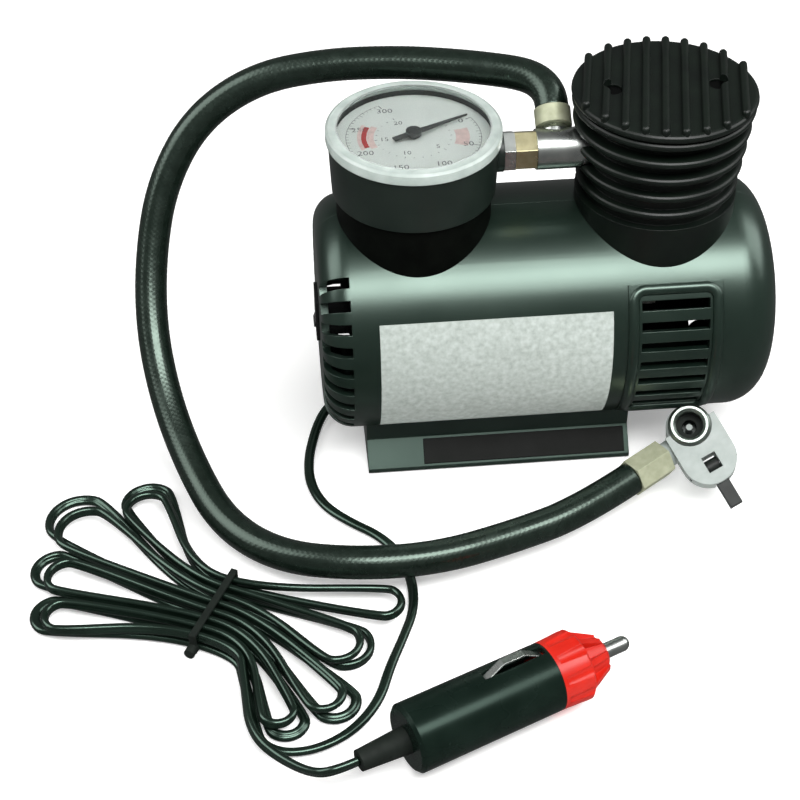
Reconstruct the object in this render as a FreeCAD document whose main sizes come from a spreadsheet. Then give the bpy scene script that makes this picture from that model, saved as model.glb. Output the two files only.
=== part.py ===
import FreeCAD, Part
import Sketcher
import math
import os
from FreeCAD import Vector

# Portable tyre inflator, millimetres. X runs along the housing, +Y away from the front, Z up.
# The origin lies on the ground below the middle of the housing.

SIZES = {
    # housing
    "body_length": 137.2,
    "body_radius": 36.5,
    "axis_height": 45.2,
    "housing_wall": 2.4,
    "left_rim_round": 9,
    "right_rim_round": 12,
    "louvre_pitch": 11,
    "louvre_first_angle": 50.5,
    "louvre_height": 3.2,
    "louvre_reach": 8.6,
    "louvre_depth": 8.1,
    "grille_left": 25.6,
    "grille_width": 20.4,
    "grille_pitch": 10.2,
    "grille_first_angle": 31.4,
    "grille_slot_height": 3,
    "grille_margin": 4,
    "grille_rise": 0.6,
    "boss_radius": 3.6,
    "boss_inset": 5.1,
    "boss_left": 60,
    "boss_right": 58,
    "boss_depth": 15.5,
    "case_screw_radius": 1.5,
    "case_screw_seat": 9,
    "case_screw_grip": 10,
    "screw_head_radius": 2.7,
    "screw_head_height": 2,
    "cradle_thickness": 3,
    # base
    "base_left": 55.7,
    "base_right": 27.5,
    "base_half_width": 27.5,
    "base_lip": 1.4,
    "neck_half_width": 21,
    "apron_top": 9,
    "base_wall": 2.5,
    "pad_radius": 5,
    "pad_height": 1.2,
    "pad_proud": 0.6,
    "pad_inset": 8,
    "base_screw_inset": 24,
    "base_screw_spread": 12,
    "base_screw_radius": 1.5,
    "plate_thickness": 0.35,
    "plate_gap": 0.05,
    "label_left": 52,
    "label_right": 17,
    "label_top_angle": 30,
    "label_sweep": 68,
    "strip_left": 38,
    "strip_right": 26,
    # gauge
    "gauge_offset": 38.9,
    "mount_radius": 23,
    "mount_wall": 2.2,
    "mount_boss_rise": 2,
    "case_rise": 8.7,
    "case_radius": 25,
    "case_wall": 1.8,
    "case_height": 17,
    "lens_radius": 25.6,
    "lens_height": 3.4,
    "lens_wall": 1.8,
    "dial_radius": 22.9,
    "dial_drop": 1.4,
    "dial_thickness": 0.6,
    "needle_length": 18.4,
    "needle_tail": 6.7,
    "needle_angle": 26.6,
    "needle_lift": 1.2,
    "spindle_radius": 0.8,
    "spindle_pinion_radius": 2,
    "movement_rise": 4.2,
    "movement_gap": 7.6,
    "movement_plate": 1,
    "rear_post_offset": 10,
    "bourdon_radius": 17.6,
    "bourdon_height": 4,
    "bourdon_thickness": 1.6,
    "bourdon_sweep": 250,
    # pump
    "pump_offset": 33.65,
    "pump_opening_radius": 18,
    "cover_rise": 0.3,
    "cover_inner_radius": 19.5,
    "cover_wall": 2,
    "collar_radius": 24,
    "collar_height": 4,
    "fin_first_rise": 8.7,
    "fin_pitch": 6.2,
    "fin_thickness": 2.4,
    "fin_first_radius": 24,
    "fin_growth": 0.64,
    "cap_radius": 26.9,
    "cap_rise": 37.7,
    "cap_thickness": 2.6,
    "rib_height": 2,
    "rib_pitch": 5.6,
    "rib_width": 2.4,
    "rib_turn": 11.5,
    "cover_screw_offset": 15.3,
    "cover_post_radius": 3.4,
    "bore_radius": 10,
    "cylinder_wall": 2.8,
    "flange_radius": 18.2,
    "flange_height": 3,
    "deck_drop": 15.7,
    "deck_thickness": 3.5,
    "deck_half_width": 17,
    "deck_reach": 50,
    "barrel_rise": 12.3,
    "valve_plate_thickness": 1.8,
    "head_height": 11.4,
    "head_radius": 18.4,
    "head_bolt_circle": 15.6,
    "head_bolt_radius": 1.5,
    "outlet_offset": 6.5,
    "ball_radius": 2,
    "chamber_radius": 2.8,
    # crank and piston
    "crank_rise": 8.3,
    "crank_radius": 5.5,
    "crank_pin_radius": 2,
    "rod_length": 34.3,
    "rod_width": 6,
    "rod_eye_radius": 6,
    "crown_radius": 9.2,
    "seal_thickness": 1,
    "retainer_thickness": 0.8,
    "running_clearance": 0.05,
    "gap": 0.3,
    # gear train
    "gear_pitch_module": 0.8,
    "gear_face": 5,
    "gear_left": 16.6,
    "shaft_radius": 2.5,
    "crank_disc_radius": 9,
    "crank_disc_thickness": 3.6,
    # motor and its bracket
    "bracket_left": 10,
    "bracket_thickness": 3.5,
    "motor_radius": 17.8,
    "motor_inset": 28.6,
    "motor_wall": 1.6,
    "end_bell_thickness": 4,
    "magnet_thickness": 3.2,
    "armature_radius": 12.6,
    "armature_recess": 24,
    "motor_shaft_radius": 1.6,
    "commutator_radius": 4.5,
    "fan_radius": 17,
    "fan_width": 6,
    "motor_screw_offset": 12.5,
    # rocker switch
    "switch_height": 15,
    "switch_width": 10.4,
    "switch_bezel": 1,
    "switch_depth": 11,
    "switch_wall": 1,
    "rocker_tilt": 10,
    # air line
    "line_rise": 18.8,
    "tee_left": 3.6,
    "tee_right": 12,
    "tee_radius": 6,
    "tee_spigot_radius": 3.2,
    "tee_spigot_length": 10,
    "stem_radius": 3.5,
    "hex_flats": 11,
    "stem_hex_length": 3.3,
    "nut_length": 6.4,
    "branch_rise": 35,
    "branch_root": 6.7,
    "ferrule_length": 5.5,
    "ferrule_radius": 5.4,
    "tee_centre": 3,
    "hose_radius": 5,
    "hose_bore_radius": 2.8,
    # chuck
    "mouth_radius": 4.15,
    "chuck_ring_radius": 6.5,
    "chuck_ring_length": 5,
    "ring_round": 0.8,
    "chuck_barrel_radius": 7.2,
    "chuck_depth": 16,
    "chuck_tail_radius": 8.5,
    "chuck_tail_offset": 11.5,
    "chuck_tail_depth": 9,
    "chuck_ferrule_length": 15,
    "chuck_neck_radius": 4,
    "lever_width": 4,
    "lever_thickness": 3,
    "lever_length": 14,
    "lever_pivot": 14,
    # power cord and plug
    "cord_radius": 1.4,
    "gland_length": 3.5,
    "gland_radius": 2.9,
    "gland_height": 5,
    "gland_side": 4,
    "hank_pitch": 3.3,
    "hank_waist": 14,
    "hank_turn_radius": 12,
    "left_fold_radius": 7,
    "right_fold_radius": 6,
    "tie_width": 2,
    "tie_thickness": 0.8,
    "plug_radius": 9.8,
    "plug_wall": 2,
    "plug_length": 44.2,
    "plug_angle": 23.5,
    "nose_length": 17.8,
    "nose_collar": 9.6,
    "nose_rim": 0.5,
    "plug_tip_radius": 2.2,
    "plug_tip_reach": 8.6,
    "tip_travel": 2,
    "fuse_radius": 3,
    "fuse_length": 28,
    "strain_relief_length": 14,
    "contact_roll": 103,
    "bow_length": 18,
    "bow_width": 2.6,
    "bow_rise": 1.8,
}

LOUVRE_COUNT = 9
GRILLE_COUNT = 7
FIN_COUNT = 5
RIB_COUNT = 9
PINION_TEETH = 9
GEAR_TEETH = 36
FAN_BLADES = 8
ARMATURE_SLOTS = 5
HANK_STRANDS = 8
HANK_LAYERS = 2
NOSE_FLUTES = 10
NOSE_RIBS = 8

os.makedirs("parts", exist_ok=True)
DOC = FreeCAD.newDocument("TyreInflator")
SHEET = DOC.addObject("Spreadsheet::Sheet", "Sizes")
NODES = []


class Size:
    """A length or an angle with the spreadsheet expression that gives it."""

    def __init__(self, value, text):
        self.value = value
        self.text = text

    def __add__(self, other):
        other = as_size(other)
        return Size(self.value + other.value, "(%s + %s)" % (self.text, other.text))

    def __sub__(self, other):
        other = as_size(other)
        return Size(self.value - other.value, "(%s - %s)" % (self.text, other.text))

    def __mul__(self, other):
        other = as_size(other)
        return Size(self.value * other.value, "(%s * %s)" % (self.text, other.text))

    def __truediv__(self, other):
        other = as_size(other)
        return Size(self.value / other.value, "(%s / %s)" % (self.text, other.text))

    def __radd__(self, other):
        return as_size(other) + self

    def __rsub__(self, other):
        return as_size(other) - self

    def __rmul__(self, other):
        return as_size(other) * self

    def __rtruediv__(self, other):
        return as_size(other) / self

    def __neg__(self):
        return Size(-self.value, "(0 - %s)" % self.text)


def as_size(value):
    if isinstance(value, Size):
        return value
    return Size(float(value), "(%r)" % float(value) if value < 0 else "%r" % float(value))


def root(size):
    return Size(math.sqrt(size.value), "sqrt(%s)" % size.text)


def sine(size):
    return Size(math.sin(math.radians(size.value)), "sin(%s * 1 deg)" % size.text)


def cosine(size):
    return Size(math.cos(math.radians(size.value)), "cos(%s * 1 deg)" % size.text)


class Table:
    """The driving sizes by name, as attributes."""


S = Table()
for row, (alias, number) in enumerate(SIZES.items(), start=1):
    SHEET.set("A%d" % row, alias)
    SHEET.set("B%d" % row, str(number))
    SHEET.setAlias("B%d" % row, alias)
    setattr(S, alias, Size(float(number), "Sizes.%s" % alias))
DOC.recompute()

X_AXIS = Vector(1, 0, 0)
Y_AXIS = Vector(0, 1, 0)
Z_AXIS = Vector(0, 0, 1)
UPRIGHT = FreeCAD.Rotation()
ALONG_X = FreeCAD.Rotation(Y_AXIS, 90)
ALONG_Y = FreeCAD.Rotation(X_AXIS, -90)


def bind(thing, path, size):
    thing.setExpression(path, as_size(size).text)


def place(thing, x=0, y=0, z=0, turn=UPRIGHT):
    """Put an object at a place whose coordinates follow the sheet."""
    values = [as_size(number) for number in (x, y, z)]
    thing.Placement = FreeCAD.Placement(Vector(*[item.value for item in values]), turn)
    for axis, item in zip("xyz", values):
        bind(thing, "Placement.Base.%s" % axis, item)
    return thing


def node(thing, label):
    """Name an object after the file that holds it."""
    thing.Label = label
    NODES.append(thing)
    return thing


# Primitives and booleans

def cylinder(radius, length, x=0, y=0, z=0, turn=UPRIGHT):
    made = DOC.addObject("Part::Cylinder", "Cylinder")
    bind(made, "Radius", radius)
    bind(made, "Height", length)
    return place(made, x, y, z, turn)


def cone(radius_low, radius_high, length, x=0, y=0, z=0, turn=UPRIGHT):
    made = DOC.addObject("Part::Cone", "Cone")
    bind(made, "Radius1", radius_low)
    bind(made, "Radius2", radius_high)
    bind(made, "Height", length)
    return place(made, x, y, z, turn)


def block(length, width, height, x=0, y=0, z=0, turn=UPRIGHT):
    """A box whose low corner is at x, y, z."""
    made = DOC.addObject("Part::Box", "Block")
    bind(made, "Length", length)
    bind(made, "Width", width)
    bind(made, "Height", height)
    return place(made, x, y, z, turn)


def ball(radius, x=0, y=0, z=0):
    made = DOC.addObject("Part::Sphere", "Ball")
    bind(made, "Radius", radius)
    return place(made, x, y, z)


def hexagon(flats, length, x=0, y=0, z=0, turn=UPRIGHT):
    made = DOC.addObject("Part::Prism", "Hexagon")
    made.Polygon = 6
    bind(made, "Circumradius", flats / math.sqrt(3))
    bind(made, "Height", length)
    return place(made, x, y, z, turn)


def tube(outer, inner, length, x=0, y=0, z=0, turn=UPRIGHT):
    return cut(cylinder(outer, length, x, y, z, turn), cylinder(inner, length, x, y, z, turn))


def fuse(*shapes):
    made = DOC.addObject("Part::MultiFuse", "Union")
    made.Shapes = list(shapes)
    made.Refine = True
    return made


def cut(base, *tools):
    made = DOC.addObject("Part::Cut", "Cut")
    made.Base = base
    made.Tool = tools[0] if len(tools) == 1 else fuse(*tools)
    return made


def group(*shapes):
    """Separate solids under one name."""
    made = DOC.addObject("Part::Compound", "Group")
    made.Links = list(shapes)
    return made


def moved(thing, x=0, y=0, z=0, turn=UPRIGHT):
    """A group placed in another frame."""
    return place(group(thing), x, y, z, turn)


# Bodies and sketches

def new_body(name):
    return DOC.addObject("PartDesign::Body", name)


def origin_feature(body, role):
    for feature in body.Origin.OriginFeatures:
        if feature.Role == role:
            return feature
    raise ValueError(role)


def outline(body, plane, corners, name, tilt=0):
    """A closed sketch of straight lines whose corners follow the sheet."""
    sketch = body.newObject("Sketcher::SketchObject", name)
    sketch.AttachmentSupport = [(origin_feature(body, plane), "")]
    sketch.MapMode = "FlatFace"
    if tilt:
        sketch.AttachmentOffset = FreeCAD.Placement(Vector(), FreeCAD.Rotation(X_AXIS, 1))
        bind(sketch, "AttachmentOffset.Rotation.Angle", tilt)
    corners = [(as_size(across), as_size(up)) for across, up in corners]
    count = len(corners)
    points = [Vector(across.value, up.value, 0) for across, up in corners]
    for index in range(count):
        sketch.addGeometry(Part.LineSegment(points[index], points[(index + 1) % count]), False)
    for index in range(count):
        sketch.addConstraint(Sketcher.Constraint("Coincident", index, 2, (index + 1) % count, 1))
    for index, (across, up) in enumerate(corners):
        for kind, size in (("DistanceX", across), ("DistanceY", up)):
            number = sketch.addConstraint(Sketcher.Constraint(kind, -1, 1, index, 1, size.value))
            bind(sketch, "Constraints[%d]" % number, size)
    return sketch


def revolve(body, sketch, axis, angle, name, kind="Revolution"):
    made = body.newObject("PartDesign::%s" % kind, name)
    made.Profile = sketch
    made.ReferenceAxis = (origin_feature(body, axis), [""])
    bind(made, "Angle", angle)
    return made


def turned(name, axis, corners):
    """A body of revolution: corners are along the axis and out from it."""
    body = new_body(name)
    if axis == "Z":
        corners = [(out, along) for along, out in corners]
    profile = outline(body, "XZ_Plane", corners, name + "Profile")
    revolve(body, profile, axis + "_Axis", 360, name + "Turn")
    return body


def extruded(name, plane, corners, length, midplane=False):
    body = new_body(name)
    profile = outline(body, plane, corners, name + "Profile")
    pad = body.newObject("PartDesign::Pad", name + "Pad")
    pad.Profile = profile
    pad.Midplane = midplane
    bind(pad, "Length", length)
    return body


def bored(body, name, radius, length, x=0, y=0, z=0, turn=UPRIGHT, kind="Subtractive", sweep=360):
    """A cylinder taken from a body, or added to it."""
    made = body.newObject("PartDesign::%sCylinder" % kind, name)
    bind(made, "Radius", radius)
    bind(made, "Height", length)
    made.Angle = sweep
    return attach(made, x, y, z, turn)


def boxed(body, name, length, width, height, x=0, y=0, z=0, turn=UPRIGHT, kind="Subtractive"):
    made = body.newObject("PartDesign::%sBox" % kind, name)
    bind(made, "Length", length)
    bind(made, "Width", width)
    bind(made, "Height", height)
    return attach(made, x, y, z, turn)


def attach(thing, x, y, z, turn):
    values = [as_size(number) for number in (x, y, z)]
    thing.AttachmentOffset = FreeCAD.Placement(Vector(*[item.value for item in values]), turn)
    thing.Placement = thing.AttachmentOffset
    for axis, item in zip("xyz", values):
        bind(thing, "Placement.Base.%s" % axis, item)
    return thing


def slots(body, name, corners, thickness, first_tilt, pitch, count, reverse):
    """Radial slots about the X axis, cut by one pocket and its pattern."""
    sketch = outline(body, "XZ_Plane", corners, name + "Sketch", first_tilt)
    pocket = body.newObject("PartDesign::Pocket", name)
    pocket.Profile = sketch
    pocket.Midplane = True
    bind(pocket, "Length", thickness)
    pattern = body.newObject("PartDesign::PolarPattern", name + "Pattern")
    pattern.Originals = [pocket]
    pattern.Axis = (origin_feature(body, "X_Axis"), [""])
    pattern.Reversed = reverse
    bind(pattern, "Angle", pitch * (count - 1))
    pattern.Occurrences = count
    body.Tip = pattern
    return pattern


def rim_edges(shape, x, radius):
    """Names of the round edges of a radius that lie at x."""
    names = []
    for number, edge in enumerate(shape.Edges, start=1):
        curve = edge.Curve
        if hasattr(curve,
                   "Radius") and abs(curve.Radius - radius) < 0.01 and abs(edge.CenterOfMass.x - x) < 0.01:
            names.append("Edge%d" % number)
    return names


def round_rim(body, x, radius, size, name):
    DOC.recompute()
    base = body.Tip
    fillet = body.newObject("PartDesign::Fillet", name)
    fillet.Base = (base, rim_edges(base.Shape, x.value, radius.value))
    bind(fillet, "Radius", size)
    return fillet


# Places that several pieces share

HALF_LENGTH = S.body_length / 2
INNER_RADIUS = S.body_radius - S.housing_wall
HOUSING_TOP = S.axis_height + S.body_radius
BOSS_OFFSET = INNER_RADIUS - S.boss_inset
LOUVRE_RADIUS = INNER_RADIUS - S.louvre_depth
MOUNT_BOSS_TOP = HOUSING_TOP + S.mount_boss_rise
CASE_FOOT = HOUSING_TOP + S.case_rise
MOVEMENT_FLOOR = CASE_FOOT + S.movement_rise
COVER_FOOT = HOUSING_TOP + S.cover_rise
FIRST_FIN_Z = HOUSING_TOP + S.fin_first_rise
CAP_TOP = HOUSING_TOP + S.cap_rise
DECK_FOOT = HOUSING_TOP - S.deck_drop
BARREL_TOP = HOUSING_TOP + S.barrel_rise
LINE_Z = HOUSING_TOP + S.line_rise
CRANK_Z = S.axis_height + S.crank_rise
MOTOR_LENGTH = HALF_LENGTH + S.bracket_left - S.motor_inset
ARMATURE_LENGTH = MOTOR_LENGTH - S.armature_recess
GAUGE_X = -S.gauge_offset
PUMP_X = S.pump_offset
MOTOR_Z = CRANK_Z - S.gear_pitch_module * ((PINION_TEETH + GEAR_TEETH) / 2)
BRACKET_RIGHT = S.bracket_left + S.bracket_thickness
MOTOR_BACK = S.bracket_left - MOTOR_LENGTH
DECK_TOP = DECK_FOOT + S.deck_thickness
HEAD_FOOT = BARREL_TOP + S.valve_plate_thickness
HEAD_TOP = HEAD_FOOT + S.head_height
PIN_Z = CRANK_Z - S.crank_radius
CASE_TOP = CASE_FOOT + S.case_height
DIAL_TOP = CASE_TOP - S.dial_drop
SQUARE_ROOT_HALF = math.sqrt(0.5)


# Housing

def housing_half(label, side):
    """One clamshell, cut along the seam at Y = 0; side is -1 at the front and 1 at the rear."""
    body = new_body(label.title().replace("_", ""))
    name = body.Name
    front = side < 0
    shell = outline(body, "XZ_Plane", [(-HALF_LENGTH, 0), (HALF_LENGTH, 0), (HALF_LENGTH, S.body_radius),
                                       (-HALF_LENGTH, S.body_radius)], name + "Shell")
    turn = revolve(body, shell, "X_Axis", 180, name + "Turn")
    turn.Reversed = not front
    round_rim(body, -HALF_LENGTH, S.body_radius, S.left_rim_round, name + "LeftRim")
    round_rim(body, HALF_LENGTH, S.body_radius, S.right_rim_round, name + "RightRim")
    facing = FreeCAD.Rotation(Z_AXIS, 180 if front else 0)
    bored(body, name + "GaugeBoss", S.mount_radius - S.mount_wall - S.gap, MOUNT_BOSS_TOP - S.axis_height,
          GAUGE_X, 0, 0, facing, "Additive", 180)
    bored(body, name + "PumpBoss", S.cover_inner_radius - S.gap, COVER_FOOT - S.axis_height, PUMP_X, 0, 0,
          facing, "Additive", 180)
    if front:
        grille_frame(body, name)
    hollow_out(body, name)
    cradle = outline(body, "XZ_Plane", [(MOTOR_BACK + 4, 0), (MOTOR_BACK + 4 + S.cradle_thickness, 0),
                                        (MOTOR_BACK + 4 + S.cradle_thickness, INNER_RADIUS + 1),
                                        (MOTOR_BACK + 4, INNER_RADIUS + 1)], name + "CradleSketch")
    rib = revolve(body, cradle, "X_Axis", 180, name + "Cradle")
    rib.Reversed = not front
    bored(body, name + "MotorSeat", S.motor_radius + S.gap, S.cradle_thickness + 2, MOTOR_BACK + 3, 0,
          MOTOR_Z - S.axis_height, ALONG_X)
    bored(body, name + "PumpOpening", S.pump_opening_radius, S.body_radius, PUMP_X, 0, 10)
    for place_x in (-S.boss_left, S.boss_right):
        for level in (-BOSS_OFFSET, BOSS_OFFSET):
            screw_boss(body, name, place_x, level, side)
    for place_x in (S.base_screw_inset - S.base_left, S.base_right - S.base_screw_inset):
        bored(body, name + "BasePilot", S.base_screw_radius, 20, place_x, S.base_screw_spread * side,
              -S.body_radius - 1)
    half_height = S.switch_height / 2 - 1
    boxed(body, name + "SwitchHole", S.housing_wall + 2, S.switch_width - 2, half_height * 2,
          -HALF_LENGTH - 1,
          1 - S.switch_width / 2, -half_height)
    louvre = [(-HALF_LENGTH - 1, LOUVRE_RADIUS), (S.louvre_reach - HALF_LENGTH, LOUVRE_RADIUS),
              (S.louvre_reach - HALF_LENGTH, S.body_radius + 3), (-HALF_LENGTH - 1, S.body_radius + 3)]
    first = (90 - S.louvre_first_angle) * (1 if front else -1)
    slots(body, name + "Louvre", louvre, S.louvre_height, first, S.louvre_pitch, LOUVRE_COUNT, not front)
    if front:
        right = S.grille_left + S.grille_width
        window = [(S.grille_left, INNER_RADIUS - 2), (right, INNER_RADIUS - 2),
                  (right, S.body_radius + 3), (S.grille_left, S.body_radius + 3)]
        slots(body, name + "Grille", window, S.grille_slot_height, 90 - S.grille_first_angle, S.grille_pitch,
              GRILLE_COUNT, False)
    place(body, 0, 0, S.axis_height)
    return node(body, label)


def hollow_out(body, name):
    """The cavity keeps the wall even behind both rounded rims."""
    left = S.housing_wall - HALF_LENGTH
    right = HALF_LENGTH - S.housing_wall
    left_bevel = (S.left_rim_round - S.housing_wall) * 0.586
    right_bevel = (S.right_rim_round - S.housing_wall) * 0.586
    cavity = outline(body, "XZ_Plane", [(left, 0), (right, 0), (right, INNER_RADIUS - right_bevel),
                                        (right - right_bevel, INNER_RADIUS), (left + left_bevel,
                                                                              INNER_RADIUS),
                                        (left, INNER_RADIUS - left_bevel)], name + "CavitySketch")
    revolve(body, cavity, "X_Axis", 360, name + "Cavity", "Groove")


def saddle_ring(outer, inner, top, x):
    """A round collar whose foot follows the curve of the housing."""
    ring = tube(outer, inner, top - S.axis_height, x, 0, S.axis_height)
    crown = cylinder(S.body_radius + S.plate_gap, 4 * outer, x - 2 * outer, 0, S.axis_height, ALONG_X)
    return cut(ring, crown)


def grille_frame(body, name):
    """A raised, sunk-in panel round the cooling slots."""
    span = S.grille_pitch * (GRILLE_COUNT - 1)
    top = 90 - S.grille_first_angle - S.grille_pitch
    outer_left = S.grille_left - S.grille_margin
    outer_right = S.grille_left + S.grille_width + S.grille_margin
    frame = outline(body, "XZ_Plane", [(outer_left, S.body_radius - 1), (outer_right, S.body_radius - 1),
                                       (outer_right, S.body_radius + S.grille_rise),
                                       (outer_left, S.body_radius + S.grille_rise)], name + "FrameSketch",
                                       top)
    revolve(body, frame, "X_Axis", span + 2 * S.grille_pitch, name + "Frame")
    lip = S.grille_margin * 0.4
    panel = outline(body, "XZ_Plane", [(outer_left + lip, S.body_radius), (outer_right - lip, S.body_radius),
                                       (outer_right - lip, S.body_radius + 3), (outer_left + lip,
                                                                                S.body_radius + 3)],
                    name + "PanelSketch", top + S.grille_pitch * 0.25)
    revolve(body, panel, "X_Axis", span + 1.5 * S.grille_pitch, name + "Panel", "Groove")


def screw_boss(body, name, place_x, level, side):
    """A boss along Y: blind at the front, through and counterbored at the rear."""
    turn = ALONG_Y if side > 0 else FreeCAD.Rotation(X_AXIS, 90)
    bored(body, name + "Boss", S.boss_radius, S.boss_depth, place_x, 0, level, turn, "Additive")
    if side < 0:
        bored(body, name + "Pilot", S.case_screw_radius, S.case_screw_grip + 1, place_x, 0, level, turn)
    else:
        bored(body, name + "Through", S.case_screw_radius, S.case_screw_seat + 1, place_x, 0, level, turn)
        bored(body, name + "Counterbore", S.screw_head_radius + 0.1, S.body_radius, place_x,
              S.case_screw_seat,
              level, turn)


def screw(radius, length, head_radius, head_height, x, y, z, turn):
    """A screw from its tip to its head, along the turned Z axis."""
    shank = cylinder(radius, length)
    head = cylinder(head_radius, head_height, 0, 0, length)
    return moved(fuse(shank, head), x, y, z, turn)


def housing_screws():
    """Four screws along Y that hold the two halves together."""
    screws = []
    for place_x in (-S.boss_left, S.boss_right):
        for level in (-BOSS_OFFSET, BOSS_OFFSET):
            screws.append(screw(S.case_screw_radius, S.case_screw_grip + S.case_screw_seat,
                                S.screw_head_radius,
                                S.screw_head_height, place_x, -S.case_screw_grip, S.axis_height + level,
                                ALONG_Y))
    return screws


def rating_label():
    """A bare curved plate on the front of the housing."""
    body = new_body("RatingLabel")
    back = S.body_radius + S.plate_gap
    face = back + S.plate_thickness
    sketch = outline(body, "XZ_Plane", [(-S.label_left, back), (S.label_right, back), (S.label_right, face),
                                        (-S.label_left, face)],
                     "LabelSketch", 90 - S.label_top_angle)
    revolve(body, sketch, "X_Axis", S.label_sweep, "LabelTurn")
    place(body, 0, 0, S.axis_height)
    return node(body, "rating_label")


# Base

def base_foot():
    bottom = S.pad_proud
    edge = S.base_half_width
    neck = S.neck_half_width
    body = extruded("BaseFoot", "YZ_Plane", [
        (-edge, bottom), (edge, bottom), (edge, bottom + S.base_lip), (neck, S.apron_top),
        (neck, S.axis_height / 2), (-neck, S.axis_height / 2), (-neck, S.apron_top), (-edge,
                                                                                      bottom + S.base_lip),
    ], S.base_left + S.base_right)
    length = S.base_left + S.base_right
    bored(body, "SaddleCut", S.body_radius, length + 2, -1, 0, S.axis_height, ALONG_X)
    floor = bottom + S.base_wall
    inner = neck - S.base_wall
    boxed(body, "BaseCavity", length - 2 * S.base_wall, 2 * inner, S.axis_height, S.base_wall, -inner, floor)
    for place_x in (S.pad_inset, length - S.pad_inset):
        for place_y in (S.pad_inset - edge, edge - S.pad_inset):
            bored(body, "PadSeat", S.pad_radius, S.pad_height, place_x, place_y, 0)
    for place_x in (S.base_screw_inset, length - S.base_screw_inset):
        for place_y in (-S.base_screw_spread, S.base_screw_spread):
            boss_height = S.axis_height - root(S.body_radius * S.body_radius
                                               - (S.base_screw_spread + 4) * (S.base_screw_spread + 4)) - floor
            bored(body, "ScrewPost", 3, boss_height, place_x, place_y, floor, UPRIGHT, "Additive")
            bored(body, "ScrewHole", S.base_screw_radius, 30, place_x, place_y, -1)
            bored(body, "HeadSeat", S.screw_head_radius + 0.1, S.base_wall, place_x, place_y, 0)
    bored(body, "GlandHole", S.gland_radius - 0.5, 2 * S.base_wall, -1, S.gland_side, S.gland_height, ALONG_X)
    bored(body, "SaddleTrim", S.body_radius, length + 2, -1, 0, S.axis_height, ALONG_X)
    place(body, -S.base_left, 0, 0)
    return node(body, "base_foot")


def foot_pads():
    length = S.base_left + S.base_right
    pads = []
    for place_x in (S.pad_inset, length - S.pad_inset):
        for place_y in (S.pad_inset - S.base_half_width, S.base_half_width - S.pad_inset):
            pads.append(cylinder(S.pad_radius, S.pad_height, place_x - S.base_left, place_y, 0))
    return node(group(*pads), "foot_pads")


def base_screws():
    length = S.base_left + S.base_right
    screws = []
    for place_x in (S.base_screw_inset, length - S.base_screw_inset):
        for place_y in (-S.base_screw_spread, S.base_screw_spread):
            seat = S.base_wall
            top = S.axis_height - INNER_RADIUS + 3.5
            turn = FreeCAD.Rotation(X_AXIS, 180)
            screws.append(screw(S.base_screw_radius, top - seat, S.screw_head_radius,
                                S.screw_head_height * 0.8,
                                place_x - S.base_left, place_y, top, turn))
    return screws


def apron_strip():
    """A plain dark strip on the sloping front of the base."""
    low = S.pad_proud + S.base_lip
    run = S.base_half_width - S.neck_half_width
    rise = S.apron_top - low
    slope = root(run * run + rise * rise)
    normal_y = -(rise / slope) * S.plate_thickness
    normal_z = (run / slope) * S.plate_thickness
    first_y = run * 0.08 - S.base_half_width
    first_z = low + rise * 0.08
    last_y = run * 0.92 - S.base_half_width
    last_z = low + rise * 0.92
    body = extruded("ApronStrip", "YZ_Plane", [(first_y, first_z), (last_y, last_z),
                                               (last_y + normal_y, last_z + normal_z),
                                               (first_y + normal_y, first_z + normal_z)],
                    S.strip_left + S.strip_right)
    place(body, -S.strip_left, 0, 0)
    return node(body, "apron_strip")


# Rocker switch in the left end

def switch_frame():
    height = S.switch_height
    width = S.switch_width
    bezel = block(S.switch_bezel, width, height, -HALF_LENGTH - S.switch_bezel, -width / 2,
                  S.axis_height - height / 2)
    inset = S.switch_wall
    barrel = block(S.switch_depth, width - 2.4, height - 2.4, -HALF_LENGTH, 1.2 - width / 2,
                   S.axis_height + 1.2 - height / 2)
    well = block(S.switch_depth + S.switch_bezel - inset, width - 2.4 - 2 * inset, height - 2.4 - 2 * inset,
                 -HALF_LENGTH - S.switch_bezel - inset * 0.5, 1.2 + inset - width / 2,
                 S.axis_height + 1.2 + inset - height / 2)
    pin_hole = cylinder(0.8, width - 3, SWITCH_PIVOT_X, 1.5 - width / 2, S.axis_height, ALONG_Y)
    blades = [block(6, 0.8, 4, S.switch_depth - HALF_LENGTH, -0.4,
                    S.axis_height - 2 + shift) for shift in (-3.4, 3.4)]
    return node(fuse(cut(fuse(bezel, barrel), well, pin_hole), *blades), "switch_frame")


SWITCH_PIVOT_X = -HALF_LENGTH + 2.4


def switch_rocker():
    """The paddle, drawn level and tipped to its off position."""
    half = S.switch_height / 2 - 1.2 - S.switch_wall - S.gap
    width = S.switch_width - 2.4 - 2 * S.switch_wall - 2 * S.gap
    body = extruded("SwitchRocker", "XZ_Plane", [(-3.3, half - 0.5), (-2.6, 0), (-3.3, -half + 0.5),
                                                 (0, -half + 0.1), (3.2, 0), (0, half - 0.1)], width, True)
    bored(body, "PivotPin", 0.75, width + 2 * S.gap + 0.6, 0, -(width / 2 + S.gap + 0.3), 0, ALONG_Y,
          "Additive")
    place(body, SWITCH_PIVOT_X, 0, S.axis_height, FreeCAD.Rotation(Y_AXIS, 1))
    bind(body, "Placement.Rotation.Angle", S.rocker_tilt)
    return node(body, "switch_rocker")


# Motor

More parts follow.
